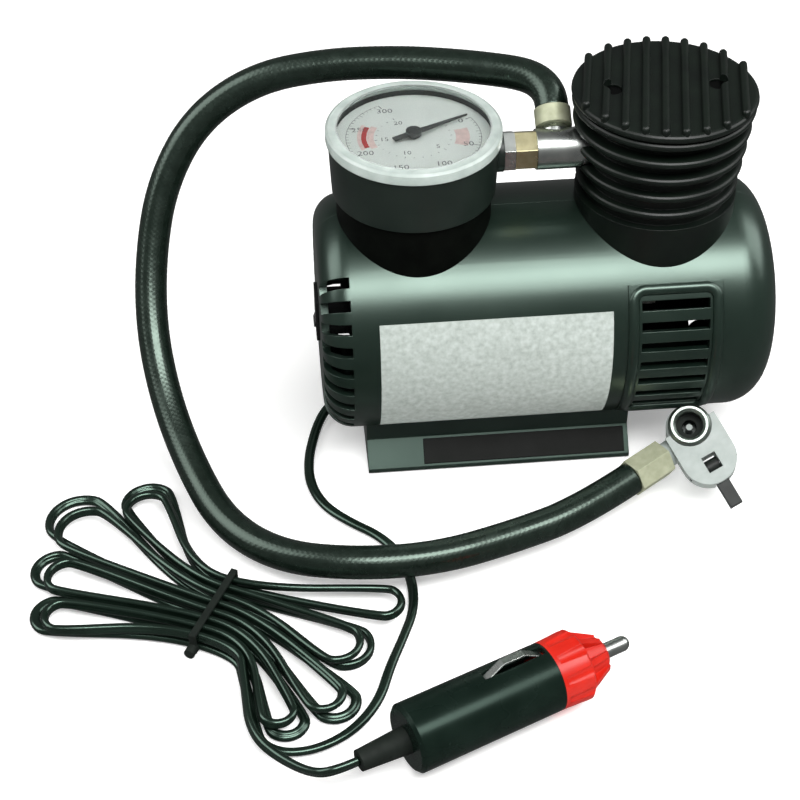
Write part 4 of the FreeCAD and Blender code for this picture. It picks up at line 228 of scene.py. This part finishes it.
def border_bead(name):
    """A half-round bead laid on the housing along the border."""
    mesh = bmesh.new()
    rings = []
    path = border_path()
    for number, (x, turn) in enumerate(path):
        before, after = path[number - 1], path[(number + 1) % len(path)]
        outward = Vector((0, -math.sin(turn), math.cos(turn)))
        around = Vector((0, -math.cos(turn), -math.sin(turn)))
        along = (Vector((1, 0, 0)) * (after[0] - before[0])
                 + around * (after[1] - before[1]) * BARREL_RADIUS).normalized()
        side = along.cross(outward)
        foot = Vector((x, 0, BARREL_LEVEL)) + outward * (BARREL_RADIUS - BEAD_ROOT)
        ring = []
        for step in range(BEAD_STEPS + 1):
            angle = math.pi * step / BEAD_STEPS
            ring.append(mesh.verts.new(foot + side * BEAD_HALF * math.cos(angle)
                                       + outward * (BEAD_HEIGHT + BEAD_ROOT) * math.sin(angle)))
        rings.append(ring)
    for number, low in enumerate(rings):
        high = rings[(number + 1) % len(rings)]
        for step in range(BEAD_STEPS + 1):
            following = (step + 1) % (BEAD_STEPS + 1)
            mesh.faces.new((low[step], low[following], high[following], high[step]))
    bmesh.ops.recalc_face_normals(mesh, faces=mesh.faces)
    return as_piece(name, mesh)


border = border_bead("grille_border")
border.data.materials.append(housing_nylon)
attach(border, "chassis")


# Rating label: a bare plate of speckled silver grey foil, curved with the barrel.
# It is stuck on the front of the housing, between the left slots and the grille.
label_foil = finish("label_foil", (0.33, 0.37, 0.34), (0.47, 0.52, 0.49),
                    patch=1.6, gloss=(0.5, 0.62), grain=0.8, depth=0.03, shine=0.2)
dress("rating_label", label_foil)


# Base: a foot moulded in black plastic and screwed under the housing, on four soft rubber pads.
# A plain dark strip is stuck on its front slope, and the cord's rubber gland sits in its left end.
base_plastic = finish("base_plastic", (0.005, 0.010, 0.008), (0.009, 0.016, 0.012),
                      patch=12, gloss=(0.3, 0.38), grain=0.5, depth=0.02, shine=0.9, tint=(0.72, 1.0, 0.86))
strip_film = finish("strip_film", (0.002, 0.003, 0.002), (0.004, 0.005, 0.004),
                    patch=6, gloss=(0.4, 0.5), grain=0.9, depth=0.01, shine=0.12)
soft_rubber = finish("soft_rubber", (0.005, 0.008, 0.006), (0.009, 0.013, 0.010),
                     patch=3, gloss=(0.6, 0.75), grain=0.35, depth=0.03, shine=0.2)
dress("base_foot", base_plastic)
dress("apron_strip", strip_film)
dress("foot_pads", soft_rubber)
dress("cord_gland", soft_rubber)


# Steel screws: turned heads and rolled threads that close the housing, the base, the pump and the motor.
# They are zinc plated, but for the two in the pump cover, which are black.
BLACK_SCREW_LEVEL = 100 * MM


def screw_steel():
    """Zinc plate, and black oxide on the two screws in the pump cover, told apart by their height."""
    material = finish("screw_steel", (0.42, 0.43, 0.43), (0.58, 0.59, 0.58),
                      patch=2.5, gloss=(0.25, 0.4), grain=0.4, depth=0.01, metal=1.0)
    tree = material.node_tree
    shader = tree.nodes["Principled BSDF"]
    place = tree.nodes.new("ShaderNodeTexCoord")
    parts = tree.nodes.new("ShaderNodeSeparateXYZ")
    high = tree.nodes.new("ShaderNodeMath")
    high.operation = "GREATER_THAN"
    high.inputs[1].default_value = BLACK_SCREW_LEVEL
    tone = tree.nodes.new("ShaderNodeMix")
    tone.data_type = "RGBA"
    tone.inputs["B"].default_value = (0.012, 0.014, 0.013, 1)
    tree.links.new(place.outputs["Object"], parts.inputs["Vector"])
    tree.links.new(parts.outputs["Z"], high.inputs[0])
    tree.links.new(high.outputs["Value"], tone.inputs["Factor"])
    tree.links.new(shader.inputs["Base Color"].links[0].from_socket, tone.inputs["A"])
    tree.links.new(tone.outputs["Result"], shader.inputs["Base Color"])
    return material


dress("steel_screws", screw_steel())


# Rocker switch: a paddle that rocks in a frame, both in glossy black plastic.
# The frame snaps into the left end of the housing.
switch_plastic = finish("switch_plastic", (0.006, 0.006, 0.006), (0.010, 0.010, 0.010),
                        patch=5, gloss=(0.16, 0.24), grain=0.5, depth=0.01)
dress("switch_frame", switch_plastic)
dress("switch_rocker", switch_plastic)


# Motor: a zinc-plated can with a black end bell, ferrite magnets, a laminated core with copper windings,
# carbon brushes on a copper commutator, and bronze bushings on a ground steel shaft.
zinc_steel = finish("zinc_steel", (0.45, 0.46, 0.46), (0.62, 0.63, 0.62),
                    patch=2.5, gloss=(0.25, 0.4), grain=0.4, depth=0.01, metal=1.0)
ferrite = finish("ferrite", (0.035, 0.034, 0.034), (0.055, 0.054, 0.053),
                 patch=2, gloss=(0.5, 0.65), grain=0.3, depth=0.03)
bronze = finish("bronze", (0.40, 0.24, 0.11), (0.52, 0.33, 0.17),
                patch=1.5, gloss=(0.35, 0.5), grain=0.25, depth=0.02, metal=0.9)
carbon = finish("carbon", (0.02, 0.02, 0.02), (0.045, 0.045, 0.045),
                patch=1, gloss=(0.45, 0.6), grain=0.2, depth=0.02)
ground_steel = finish("ground_steel", (0.50, 0.51, 0.52), (0.63, 0.64, 0.65),
                      patch=3, gloss=(0.18, 0.28), grain=0.3, depth=0.005, metal=1.0)
copper = finish("copper", (0.55, 0.22, 0.10), (0.72, 0.33, 0.17),
                patch=1.2, gloss=(0.22, 0.35), grain=0.4, depth=0.03, metal=1.0)
white_nylon = finish("white_nylon", (0.24, 0.24, 0.22), (0.30, 0.30, 0.28),
                     patch=6, gloss=(0.4, 0.5), grain=0.5, depth=0.02)
dress("motor_can", zinc_steel)
dress("motor_end_bell", base_plastic)
dress("motor_magnets", ferrite)
dress("bronze_bushings", bronze)
dress("motor_brushes", carbon)
dress("motor_shaft", ground_steel)
dress("armature_core", zinc_steel)
dress("armature_windings", copper)
dress("commutator", copper)
dress("motor_fan", base_plastic)
dress("motor_pinion", bronze)
dress("drive_gear", white_nylon)


# Crank and pump: a steel crank drives a nylon rod, whose crown wobbles in a cylinder of cast aluminium.
# A plated steel bracket carries them, under a cast head with a spring steel reed and an outlet ball.
cast_aluminium = finish("cast_aluminium", (0.42, 0.43, 0.43), (0.55, 0.56, 0.55),
                        patch=3, gloss=(0.4, 0.55), grain=0.5, depth=0.04, metal=0.9)
dress("crank_shaft", ground_steel)
dress("crank_pin", ground_steel)
dress("connecting_rod", white_nylon)
dress("piston_seal", soft_rubber)
dress("pump_bracket", zinc_steel)
dress("pump_cylinder", cast_aluminium)
dress("valve_plate", cast_aluminium)
dress("reed_valve", ground_steel)
dress("cylinder_head", cast_aluminium)
dress("outlet_valve", ground_steel)


# Pump cover: a cap moulded in black plastic, with round cooling fins and slanting ribs over its top.
# Its skirt follows the housing, and two screws hold it on the cylinder head.
cover_plastic = finish("cover_plastic", (0.002, 0.004, 0.003), (0.004, 0.008, 0.005),
                       patch=9, gloss=(0.36, 0.46), grain=0.5, depth=0.02, shine=0.35)
dress("pump_cover", cover_plastic)


# Gauge: a black plastic case on a saddle that follows the housing, with a white card dial under a clear cap.
# A brass tube inside uncurls with the pressure and turns the grey pointer through its movement.
case_plastic = finish("case_plastic", (0.007, 0.013, 0.010), (0.011, 0.018, 0.014),
                      patch=12, gloss=(0.34, 0.42), grain=0.6, depth=0.01, shine=0.4)
# The saddle is a black part, but its colour is pushed almost to pure black as painted shade under the
# overhanging gauge case.
saddle_black_and_painted_shade = finish("saddle_black_and_painted_shade", (0.001, 0.0014, 0.001), (0.002, 0.003, 0.002),
                       patch=5, gloss=(0.5, 0.65), grain=0.5, depth=0.02, shine=0.08)
brass = finish("brass", (0.58, 0.53, 0.30), (0.74, 0.69, 0.44),
               patch=2.5, gloss=(0.24, 0.36), grain=0.4, depth=0.01, metal=1.0)
satin_nickel = finish("satin_nickel", (0.50, 0.53, 0.51), (0.62, 0.65, 0.62),
                      patch=3, gloss=(0.24, 0.34), grain=0.4, depth=0.01, metal=1.0)
dial_card = finish("dial_card", (0.72, 0.76, 0.73), (0.78, 0.82, 0.79),
                   patch=8, gloss=(0.5, 0.6), grain=0.4, depth=0.005)
pointer_grey = finish("pointer_grey", (0.03, 0.035, 0.034), (0.05, 0.055, 0.054),
                      patch=2, gloss=(0.3, 0.4), grain=0.3, depth=0.005)
dress("gauge_mount", saddle_black_and_painted_shade)
dress("gauge_case", case_plastic)
dress("gauge_stem", satin_nickel)
dress("bourdon_tube", brass)
dress("gauge_movement", brass)
dress("gauge_dial", dial_card)
dress("gauge_needle", pointer_grey)

GAUGE_MIDDLE = Vector((-38.9, 0, 0)) * MM
WINDOW_RADIUS = 21.9 * MM
RIM_BLEND = 0.9 * MM
RIM_CLEARNESS = 0.35


def cap_plastic():
    """Clear in the window and milky in the thick rim, told apart by the distance from the gauge's axis."""
    material = finish("clear_cap", (0.50, 0.58, 0.54), (0.66, 0.74, 0.70),
                      patch=5, gloss=(0.16, 0.26), grain=0.8, depth=0.01, shine=0.8)
    tree = material.node_tree
    shader = tree.nodes["Principled BSDF"]
    milky_tone = shader.inputs["Base Color"].links[0].from_socket
    milky_gloss = shader.inputs["Roughness"].links[0].from_socket
    place = tree.nodes.new("ShaderNodeTexCoord")
    offset = tree.nodes.new("ShaderNodeVectorMath")
    offset.operation = "SUBTRACT"
    offset.inputs[1].default_value = GAUGE_MIDDLE
    flat = tree.nodes.new("ShaderNodeVectorMath")
    flat.operation = "MULTIPLY"
    flat.inputs[1].default_value = (1, 1, 0)
    reach = tree.nodes.new("ShaderNodeVectorMath")
    reach.operation = "LENGTH"
    rim = tree.nodes.new("ShaderNodeMapRange")
    rim.inputs["From Min"].default_value = WINDOW_RADIUS
    rim.inputs["From Max"].default_value = WINDOW_RADIUS + RIM_BLEND
    see_through = tree.nodes.new("ShaderNodeMapRange")
    see_through.inputs["To Min"].default_value = 1.0
    see_through.inputs["To Max"].default_value = RIM_CLEARNESS
    tone = tree.nodes.new("ShaderNodeMix")
    tone.data_type = "RGBA"
    tone.inputs["A"].default_value = (0.97, 0.99, 0.98, 1)
    gloss = tree.nodes.new("ShaderNodeMix")
    gloss.inputs["A"].default_value = 0.02
    tree.links.new(place.outputs["Object"], offset.inputs[0])
    tree.links.new(offset.outputs["Vector"], flat.inputs[0])
    tree.links.new(flat.outputs["Vector"], reach.inputs[0])
    tree.links.new(reach.outputs["Value"], rim.inputs["Value"])
    tree.links.new(rim.outputs["Result"], see_through.inputs["Value"])
    tree.links.new(rim.outputs["Result"], tone.inputs["Factor"])
    tree.links.new(rim.outputs["Result"], gloss.inputs["Factor"])
    tree.links.new(milky_tone, tone.inputs["B"])
    tree.links.new(milky_gloss, gloss.inputs["B"])
    tree.links.new(tone.outputs["Result"], shader.inputs["Base Color"])
    tree.links.new(gloss.outputs["Result"], shader.inputs["Roughness"])
    tree.links.new(see_through.outputs["Result"], shader.inputs["Transmission Weight"])
    return material


dress("gauge_lens", cap_plastic())


# Dial print: grey ink on the white card, in an outer and an inner scale with plain numbers.
# It also has red and pink fields; radii and heights are in millimetres, angles in degrees.
DIAL_LEVEL = 106.02 * MM
SCALE_START = 26.6
SCALE_SWEEP = 270
LINE_STEPS = 90
FIELD_STEPS = 24
OUTER_MARKS = 60
OUTER_LINE_INNER = 19.55
OUTER_LINE_OUTER = 19.7
LONG_MARK = 1.7
MIDDLE_MARK = 1.2
SHORT_MARK = 0.7
BOLD_HALF_ANGLE = 0.45
FINE_HALF_ANGLE = 0.25
INNER_MARKS = 20
INNER_FOOT = 10.6
INNER_LONG_TOP = 11.5
INNER_SHORT_TOP = 11.1
INNER_HALF_ANGLE = 0.5
RED_FIELD = (13.7, 15.2, 154, 198)
PINK_FIELDS = [(11.6, 13.6, 150, 202), (15.3, 16.4, 152, 200), (12.2, 16.2, 12, -22)]
OUTER_NUMBER_RADIUS = 16.2
OUTER_NUMBER_HEIGHT = 2.3
OUTER_NUMBER_STEPS = 6
INNER_NUMBER_RADIUS = 8.6
INNER_NUMBER_HEIGHT = 1.9
INNER_NUMBER_STEPS = 4
LETTER_SIZE = 1.4
INK_SPREAD = 1.25


def print_ring(mesh, inner, outer, first, last, steps):
    """A flat printed arc between two radii, from one angle to another."""
    rows = []
    for step in range(steps + 1):
        angle = math.radians(first + (last - first) * step / steps)
        ray = Vector((math.cos(angle), math.sin(angle), 0))
        base = GAUGE_MIDDLE + Vector((0, 0, DIAL_LEVEL))
        rows.append([mesh.verts.new(base + ray * radius * MM) for radius in (inner, outer)])
    for low, high in zip(rows, rows[1:]):
        mesh.faces.new((low[0], low[1], high[1], high[0]))


def ink(name, tone):
    """Matt printing ink in one colour."""
    return finish(name, tone, tuple(min(1, part * INK_SPREAD) for part in tone),
                  patch=1.5, gloss=(0.5, 0.65), grain=0.3, depth=0.002)


def printed(name, mesh, material):
    """A flat print on the dial, as a piece of its own."""
    bmesh.ops.recalc_face_normals(mesh, faces=mesh.faces)
    piece = as_piece(name, mesh, smooth=False)
    piece.data.materials.append(material)
    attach(piece, "chassis")


grey_ink = ink("grey_ink", (0.10, 0.11, 0.12))
scales = bmesh.new()
print_ring(scales, OUTER_LINE_INNER, OUTER_LINE_OUTER, SCALE_START, SCALE_START - SCALE_SWEEP, LINE_STEPS)
for mark in range(OUTER_MARKS + 1):
    angle = SCALE_START - SCALE_SWEEP * mark / OUTER_MARKS
    length = LONG_MARK if mark % 10 == 0 else (MIDDLE_MARK if mark % 5 == 0 else SHORT_MARK)
    half = BOLD_HALF_ANGLE if mark % 10 == 0 else FINE_HALF_ANGLE
    print_ring(scales, OUTER_LINE_INNER - length, OUTER_LINE_INNER, angle - half, angle + half, 1)
for mark in range(INNER_MARKS + 1):
    angle = SCALE_START - SCALE_SWEEP * mark / INNER_MARKS
    top = INNER_LONG_TOP if mark % 5 == 0 else INNER_SHORT_TOP
    print_ring(scales, INNER_FOOT, top, angle - INNER_HALF_ANGLE, angle + INNER_HALF_ANGLE, 1)
printed("dial_scales", scales, grey_ink)

red_field = bmesh.new()
print_ring(red_field, *RED_FIELD, FIELD_STEPS)
printed("dial_red_arc", red_field, ink("red_ink", (0.42, 0.04, 0.04)))
pink_field = bmesh.new()
for field in PINK_FIELDS:
    print_ring(pink_field, *field, FIELD_STEPS)
printed("dial_pink_field", pink_field, ink("pink_ink", (0.66, 0.50, 0.48)))


def dial_number(name, text, radius, angle, height):
    """A printed number, upright on the dial as it is read from the front."""
    letters = bpy.data.curves.new(name, "FONT")
    letters.body = text
    letters.size = height * MM * LETTER_SIZE
    letters.align_x = "CENTER"
    letters.align_y = "CENTER"
    letters.resolution_u = 2
    holder = bpy.data.objects.new(name + "_letters", letters)
    bpy.context.collection.objects.link(holder)
    bpy.context.view_layer.update()
    data = bpy.data.meshes.new_from_object(holder)
    bpy.data.objects.remove(holder)
    turn = math.radians(angle)
    place = GAUGE_MIDDLE + Vector((math.cos(turn) * radius * MM, math.sin(turn) * radius * MM, DIAL_LEVEL))
    for corner in data.vertices:
        corner.co = corner.co + place
    piece = bpy.data.objects.new(name, data)
    bpy.context.collection.objects.link(piece)
    data.materials.clear()
    data.materials.append(grey_ink)
    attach(piece, "chassis")


for mark in range(OUTER_NUMBER_STEPS + 1):
    dial_number("outer_number_%d" % mark, str(50 * mark), OUTER_NUMBER_RADIUS,
                SCALE_START - SCALE_SWEEP / OUTER_NUMBER_STEPS * mark, OUTER_NUMBER_HEIGHT)
for mark in range(1, INNER_NUMBER_STEPS + 1):
    dial_number("inner_number_%d" % mark, str(5 * mark), INNER_NUMBER_RADIUS,
                SCALE_START - SCALE_SWEEP / INNER_NUMBER_STEPS * mark, INNER_NUMBER_HEIGHT)


# Air line: a brass nut screws the gauge's stem to a tee in satin nickel plate, which leads to the pump.
# The hose leaves the tee, and a brass ferrule is crimped on each of its ends.
dress("gauge_nut", brass)
dress("tee_fitting", satin_nickel)
olive_brass = finish("olive_brass", (0.34, 0.36, 0.24), (0.46, 0.48, 0.34),
                     patch=3, gloss=(0.42, 0.52), grain=0.4, depth=0.02, metal=0.35)
dress("hose_ferrules", olive_brass)


# Hose: black rubber with a fine braid over it, crimped into the tee behind the gauge and into the chuck.
# It is stiff, arches over the left of the housing and comes round in front; its route is in millimetres.
HOSE_STATION = 0.45 * MM
HOSE_SIDES = 96
LAST_STATION_SHARE = 0.3
HOSE_ROUTE = [
    (3, 9.994, 107.498), (3, 12.615, 109.333),
    (2.1, 15.6, 110.9), (0.2, 18.6, 111.9), (-2.4, 21.2, 112.3), (-6.2, 23.8, 112.3), (-12.4, 27.1, 111.8),
    (-22.9, 31.5, 111.2), (-40, 36.6, 110.4), (-62, 41.4, 108), (-84, 43.6, 103), (-102.8, 40.6, 91.2),
    (-114.6, 32.4, 73.8), (-119.8, 20.6, 54.8), (-121, 5.6, 37.6), (-117.6, -12.2, 23.2),
    (-110.8, -31.6, 12.9), (-101.6, -52.2, 7.6), (-85.6, -68.4, 8.2), (-63, -76.4, 11.2),
    (-39.2, -76.4, 11.2),
    (-15.8, -68.2, 9.6), (5.213, -61.196, 10.912), (22.9, -50, 12.6),
]


def laid_spline(name, route):
    """A smooth line through the air and along the ground, with the route's points as its controls."""
    curve = bpy.data.curves.new(name, "CURVE")
    curve.dimensions = "3D"
    curve.resolution_u = 12
    line = curve.splines.new("NURBS")
    line.points.add(len(route) - 1)
    for control, (x, y, z) in zip(line.points, route):
        control.co = (x * MM, y * MM, z * MM, 1)
    line.order_u = 3
    line.use_endpoint_u = True
    holder = bpy.data.objects.new(name, curve)
    bpy.context.collection.objects.link(holder)
    bpy.context.view_layer.update()
    traced = bpy.data.meshes.new_from_object(holder)
    points = [vertex.co.copy() for vertex in traced.vertices]
    bpy.data.objects.remove(holder)
    bpy.data.meshes.remove(traced)
    return points


def even_steps(points, step):
    """The same line with stations a fixed step apart."""
    stations = [points[0]]
    left = step
    for first, second in zip(points, points[1:]):
        run = (second - first).length
        done = 0.0
        while run - done >= left:
            done += left
            stations.append(first.lerp(second, done / run))
            left = step
        left -= run - done
    if (stations[-1] - points[-1]).length > step * LAST_STATION_SHARE:
        stations.append(points[-1])
    else:
        stations[-1] = points[-1]
    return stations


def skin(name, stations, outline):
    """A sleeve along the stations; outline(distance) gives its section as (sideways, upward) pairs."""
    mesh = bmesh.new()
    rings = []
    distance = 0.0
    sideways = None
    for number, place in enumerate(stations):
        before = stations[max(number - 1, 0)]
        after = stations[min(number + 1, len(stations) - 1)]
        along = (after - before).normalized()
        if sideways is None:
            sideways = along.cross(Vector((0, 0, 1)))
            if sideways.length < 0.05:
                sideways = Vector((1, 0, 0))
        sideways = (sideways - along * sideways.dot(along)).normalized()
        up = sideways.cross(along)
        if number:
            distance += (place - stations[number - 1]).length
        ring = [mesh.verts.new(place + sideways * s + up * u) for s, u in outline(distance)]
        rings.append(ring)
    for low, high in zip(rings, rings[1:]):
        count = len(low)
        for index in range(count):
            mesh.faces.new((low[index], low[(index + 1) % count], high[(index + 1) % count], high[index]))
    mesh.faces.new(list(reversed(rings[0])))
    mesh.faces.new(rings[-1])
    bmesh.ops.recalc_face_normals(mesh, faces=mesh.faces)
    return as_piece(name, mesh)


HOSE_RADIUS = 4.95 * MM
BRAID_STARTS = 16
BRAID_LAY = 26 * MM
BRAID_DEPTH = 0.035 * MM


def braided_section(distance):
    """A round of the hose whose surface follows two crossing sets of strands."""
    section = []
    turn = BRAID_STARTS * 2 * math.pi * distance / BRAID_LAY
    for step in range(HOSE_SIDES):
        angle = 2 * math.pi * step / HOSE_SIDES
        over = math.cos(BRAID_STARTS * angle + turn)
        under = math.cos(BRAID_STARTS * angle - turn)
        radius = HOSE_RADIUS + BRAID_DEPTH * max(over, under)
        section.append((radius * math.cos(angle), radius * math.sin(angle)))
    return section


hose_line = even_steps(laid_spline("hose_line", HOSE_ROUTE), HOSE_STATION)
hose = skin("braided_hose", hose_line, braided_section)
hose_rubber = finish("hose_rubber", (0.003, 0.006, 0.004), (0.007, 0.012, 0.009),
                     patch=2.2, gloss=(0.22, 0.3), grain=0.4, depth=0.015, shine=0.8, tint=(0.78, 1.0, 0.86))
hose.data.materials.append(hose_rubber)
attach(hose, "chassis")
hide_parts("air_hose")


# Chuck: a body cast in zinc with a bright chrome ring and a rubber seal at its mouth.
# The black thumb lever turns on a steel pin and locks the chuck on the tyre's valve.
bright_chrome = finish("bright_chrome", (0.24, 0.28, 0.25), (0.32, 0.36, 0.33),
                       patch=4, gloss=(0.3, 0.38), grain=0.5, depth=0.005, metal=1.0)
cast_zinc = finish("cast_zinc", (0.30, 0.34, 0.32), (0.38, 0.42, 0.40),
                   patch=4, gloss=(0.45, 0.55), grain=0.5, depth=0.02, shine=0.35)
dress("chuck_body", cast_zinc)
dress("chuck_ring", bright_chrome)
dress("chuck_seal", soft_rubber)
lever_black = finish("lever_black", (0.008, 0.010, 0.009), (0.016, 0.019, 0.017),
                     patch=2, gloss=(0.4, 0.55), grain=0.6, depth=0.03, shine=0.3)
dress("chuck_lever", lever_black)
dress("lever_pin", ground_steel)


# Power cord: a flat twin cord in glossy black vinyl, led from the gland in the base to the plug.
# It is folded to and fro into a hank of two layers, held by a tie; its routes are in millimetres.
CORD_LEAD = [
    (-59.2, 4, 5), (-62.6, 4, 5), (-66.6, 2.2, 3.7), (-69.8, -2.4, 2.2), (-72.2, -9.6, 1.5),
    (-74.4, -20, 1.5),
    (-74.6, -31, 1.5), (-71, -41.4, 1.5), (-63.4, -49.4, 1.5), (-54.8, -56, 1.5), (-49, -65, 1.5),
    (-46.6, -76, 1.5), (-47.2, -87, 1.5), (-51.4, -97.4, 1.5), (-56.2, -108, 1.5), (-60, -119.4, 1.5),
    (-67.6, -129, 1.5), (-77.6, -134.4, 1.5), (-86.8, -135, 1.5), (-93, -131.4, 1.5), (-94.6, -125.2, 1.5),
]
CORD_TAIL = [(-96.2, -125.6, 4.9), (-93.8, -132.8, 5), (-88.4, -138.8, 4.8), (-81, -146.2, 7.4)]
CORD_END = [(-74.975, -150.172, 11.6), (-67.639, -146.982, 11.6)]
HANK_MIDDLE = Vector((-105, -83.5, 0))
HANK_TURN = Matrix.Rotation(math.radians(-27), 3, "Z")
LEFT_FAN = [127, 149, 149, 171, 171, 185, 185, 200]
LEFT_LOOPS = [1.06, 1.41, 0.97, 0.86]
RIGHT_FAN = [4, 4, -19, -19, -36, -36, -54, -54]
RIGHT_LOOPS = [0.93, 1.23, 1.02, 0.87]
STRANDS = 8
STRAND_PITCH = 3.3
WAIST = 14
WAIST_BEND = 12
LOOP_STEPS = 6
LOWEST_STRAND = 1.5
LAYER_SPLAY = 5
TURNOVER_WAY = 27
STRAIGHT_NEAR = 3
STRAIGHT_FAR = 12
LEFT_LOOP_RADIUS = 7
RIGHT_LOOP_RADIUS = 6
UPPER_LOOP_SHRINK = 0.1


def waist_exit(number, layer, side, way):
    """Where a strand bends out of the waist: the bend's corner, its end and the strand's direction."""
    top = STRAND_PITCH * (STRANDS - 1) / 2
    beside = top - STRAND_PITCH * number
    way = way - LAYER_SPLAY * layer * side
    turn = (way - (0 if side > 0 else 180) + 180) % 360 - 180
    climbs = turn * side > 0
    radius = WAIST_BEND + (top - beside if climbs else top + beside)
    sign = 1 if climbs else -1
    swing = math.radians(abs(turn))
    height = LOWEST_STRAND + STRAND_PITCH * layer
    corner = Vector((side * (WAIST / 2 + radius * math.tan(swing / 2)), beside, height))
    end = Vector((side * (WAIST / 2 + radius * math.sin(swing)),
                  beside + sign * radius * (1 - math.cos(swing)), height))
    direction = Vector((math.cos(math.radians(way)), math.sin(math.radians(way)), 0))
    return corner, end, direction


def end_loop(first, second, radius):
    """Corners round the loop that joins two strands, each strand given as (corner, end, direction)."""
    sign = -1 if first[2].cross(second[2]).z < 0 else 1
    first_side = Vector((-first[2].y, first[2].x, 0)) * sign
    second_side = Vector((second[2].y, -second[2].x, 0)) * sign
    gap = (second[1] + second_side * radius) - (first[1] + first_side * radius)
    scale = first[2].x * second[2].y - first[2].y * second[2].x
    run = (gap.x * second[2].y - gap.y * second[2].x) / scale
    middle = first[1] + first[2] * run + first_side * radius
    start = math.atan2(-first_side.y, -first_side.x)
    finish_angle = math.atan2(-second_side.y, -second_side.x)
    sweep = (finish_angle - start) * sign % (2 * math.pi)
    step = sweep / LOOP_STEPS
    reach = radius / math.cos(step / 2)
    corners = []
    for number in range(LOOP_STEPS):
        angle = start + sign * step * (number + 0.5)
        corners.append(Vector((middle.x + reach * math.cos(angle), middle.y + reach * math.sin(angle),
                               second[1].z)))
    return corners


def hank_corners():
    """The hank's controls: down through the lower layer of strands and back up through the upper one."""
    order = [(number, 0) for number in reversed(range(STRANDS))] + [(number, 1) for number in range(STRANDS)]
    middle = len(order) // 2
    corners = []
    for place, (number, layer) in enumerate(order):
        leftward = place % 2 == 0
        right = waist_exit(number, layer, 1, TURNOVER_WAY if place == middle else RIGHT_FAN[number])
        left = waist_exit(number, layer, -1, LEFT_FAN[number])
        arriving, leaving = (right, left) if leftward else (left, right)
        if place == 0:
            corners += [arriving[1] + arriving[2] * STRAIGHT_FAR, arriving[1] + arriving[2] * STRAIGHT_NEAR]
        corners += [arriving[0], leaving[0]]
        if place + 1 == len(order):
            corners += [leaving[1] + leaving[2] * STRAIGHT_NEAR, leaving[1] + leaving[2] * STRAIGHT_FAR]
            continue
        next_number, next_layer = order[place + 1]
        fan = LEFT_FAN if leftward else RIGHT_FAN
        way = TURNOVER_WAY if place + 1 == middle else fan[next_number]
        following = waist_exit(next_number, next_layer, -1 if leftward else 1, way)
        if leftward:
            size = LEFT_LOOP_RADIUS * LEFT_LOOPS[number // 2]
        else:
            size = RIGHT_LOOP_RADIUS * RIGHT_LOOPS[(number + 1) // 2]
        corners += end_loop(leaving, following, size * (1 - UPPER_LOOP_SHRINK * layer))
    return [tuple(HANK_MIDDLE + HANK_TURN @ corner) for corner in corners]


CORE_RADIUS = 1.05 * MM
CORE_OFFSET = 0.5 * MM
CORD_SIDES = 28
CORD_STATION = 1.0 * MM
SLOW_LEAN = math.radians(22)
SLOW_RATE = 34
QUICK_LEAN = math.radians(14)
QUICK_RATE = 91


def twin_section(distance):
    """Two cores side by side under one skin, rolled a little to and fro along the cord."""
    lean = SLOW_LEAN * math.sin(distance * SLOW_RATE) + QUICK_LEAN * math.sin(distance * QUICK_RATE + 1)
    section = []
    for step in range(CORD_SIDES):
        angle = 2 * math.pi * step / CORD_SIDES
        reach = (CORE_OFFSET * abs(math.cos(angle))
                 + math.sqrt(CORE_RADIUS ** 2 - (CORE_OFFSET * math.sin(angle)) ** 2))
        section.append((reach * math.cos(angle + lean), reach * math.sin(angle + lean)))
    return section


CORD_ROUTE = CORD_LEAD + hank_corners() + CORD_TAIL + CORD_END
cord_line = even_steps(laid_spline("cord_line", CORD_ROUTE), CORD_STATION)
cord = skin("twin_cord", cord_line, twin_section)
cord_vinyl = finish("cord_vinyl", (0.002, 0.005, 0.003), (0.005, 0.010, 0.007),
                    patch=8, gloss=(0.18, 0.26), grain=0.8, depth=0.01, shine=1.0, tint=(0.68, 1.0, 0.82))
cord.data.materials.append(cord_vinyl)
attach(cord, "chassis")
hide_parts("power_cord_lead", "power_cord_hank", "power_cord_tail")
dress("cord_tie", soft_rubber)


# Plug: a barrel moulded in glossy black plastic, with a glass fuse inside and a rubber strain relief behind.
# Two bowed strips press on the socket's wall, and a red nose screws on round the nickel-plated sprung tip.
plug_gloss = finish("plug_gloss", (0.003, 0.007, 0.005), (0.006, 0.012, 0.009),
                    patch=10, gloss=(0.22, 0.3), grain=0.8, depth=0.008, shine=0.2, tint=(0.7, 1.0, 0.85))
nose_red = finish("nose_red", (0.46, 0.010, 0.004), (0.56, 0.016, 0.007),
                  patch=6, gloss=(0.28, 0.4), grain=0.8, depth=0.01, shine=0.35)
fuse_glass = finish("fuse_glass", (0.62, 0.66, 0.66), (0.72, 0.76, 0.76),
                    patch=4, gloss=(0.1, 0.2), grain=0.8, depth=0.005)
dress("strain_relief", soft_rubber)
dress("plug_body", plug_gloss)
dress("side_contacts", satin_nickel)
dress("plug_nose", nose_red)
dress("plug_tip", satin_nickel)
dress("plug_fuse", fuse_glass)
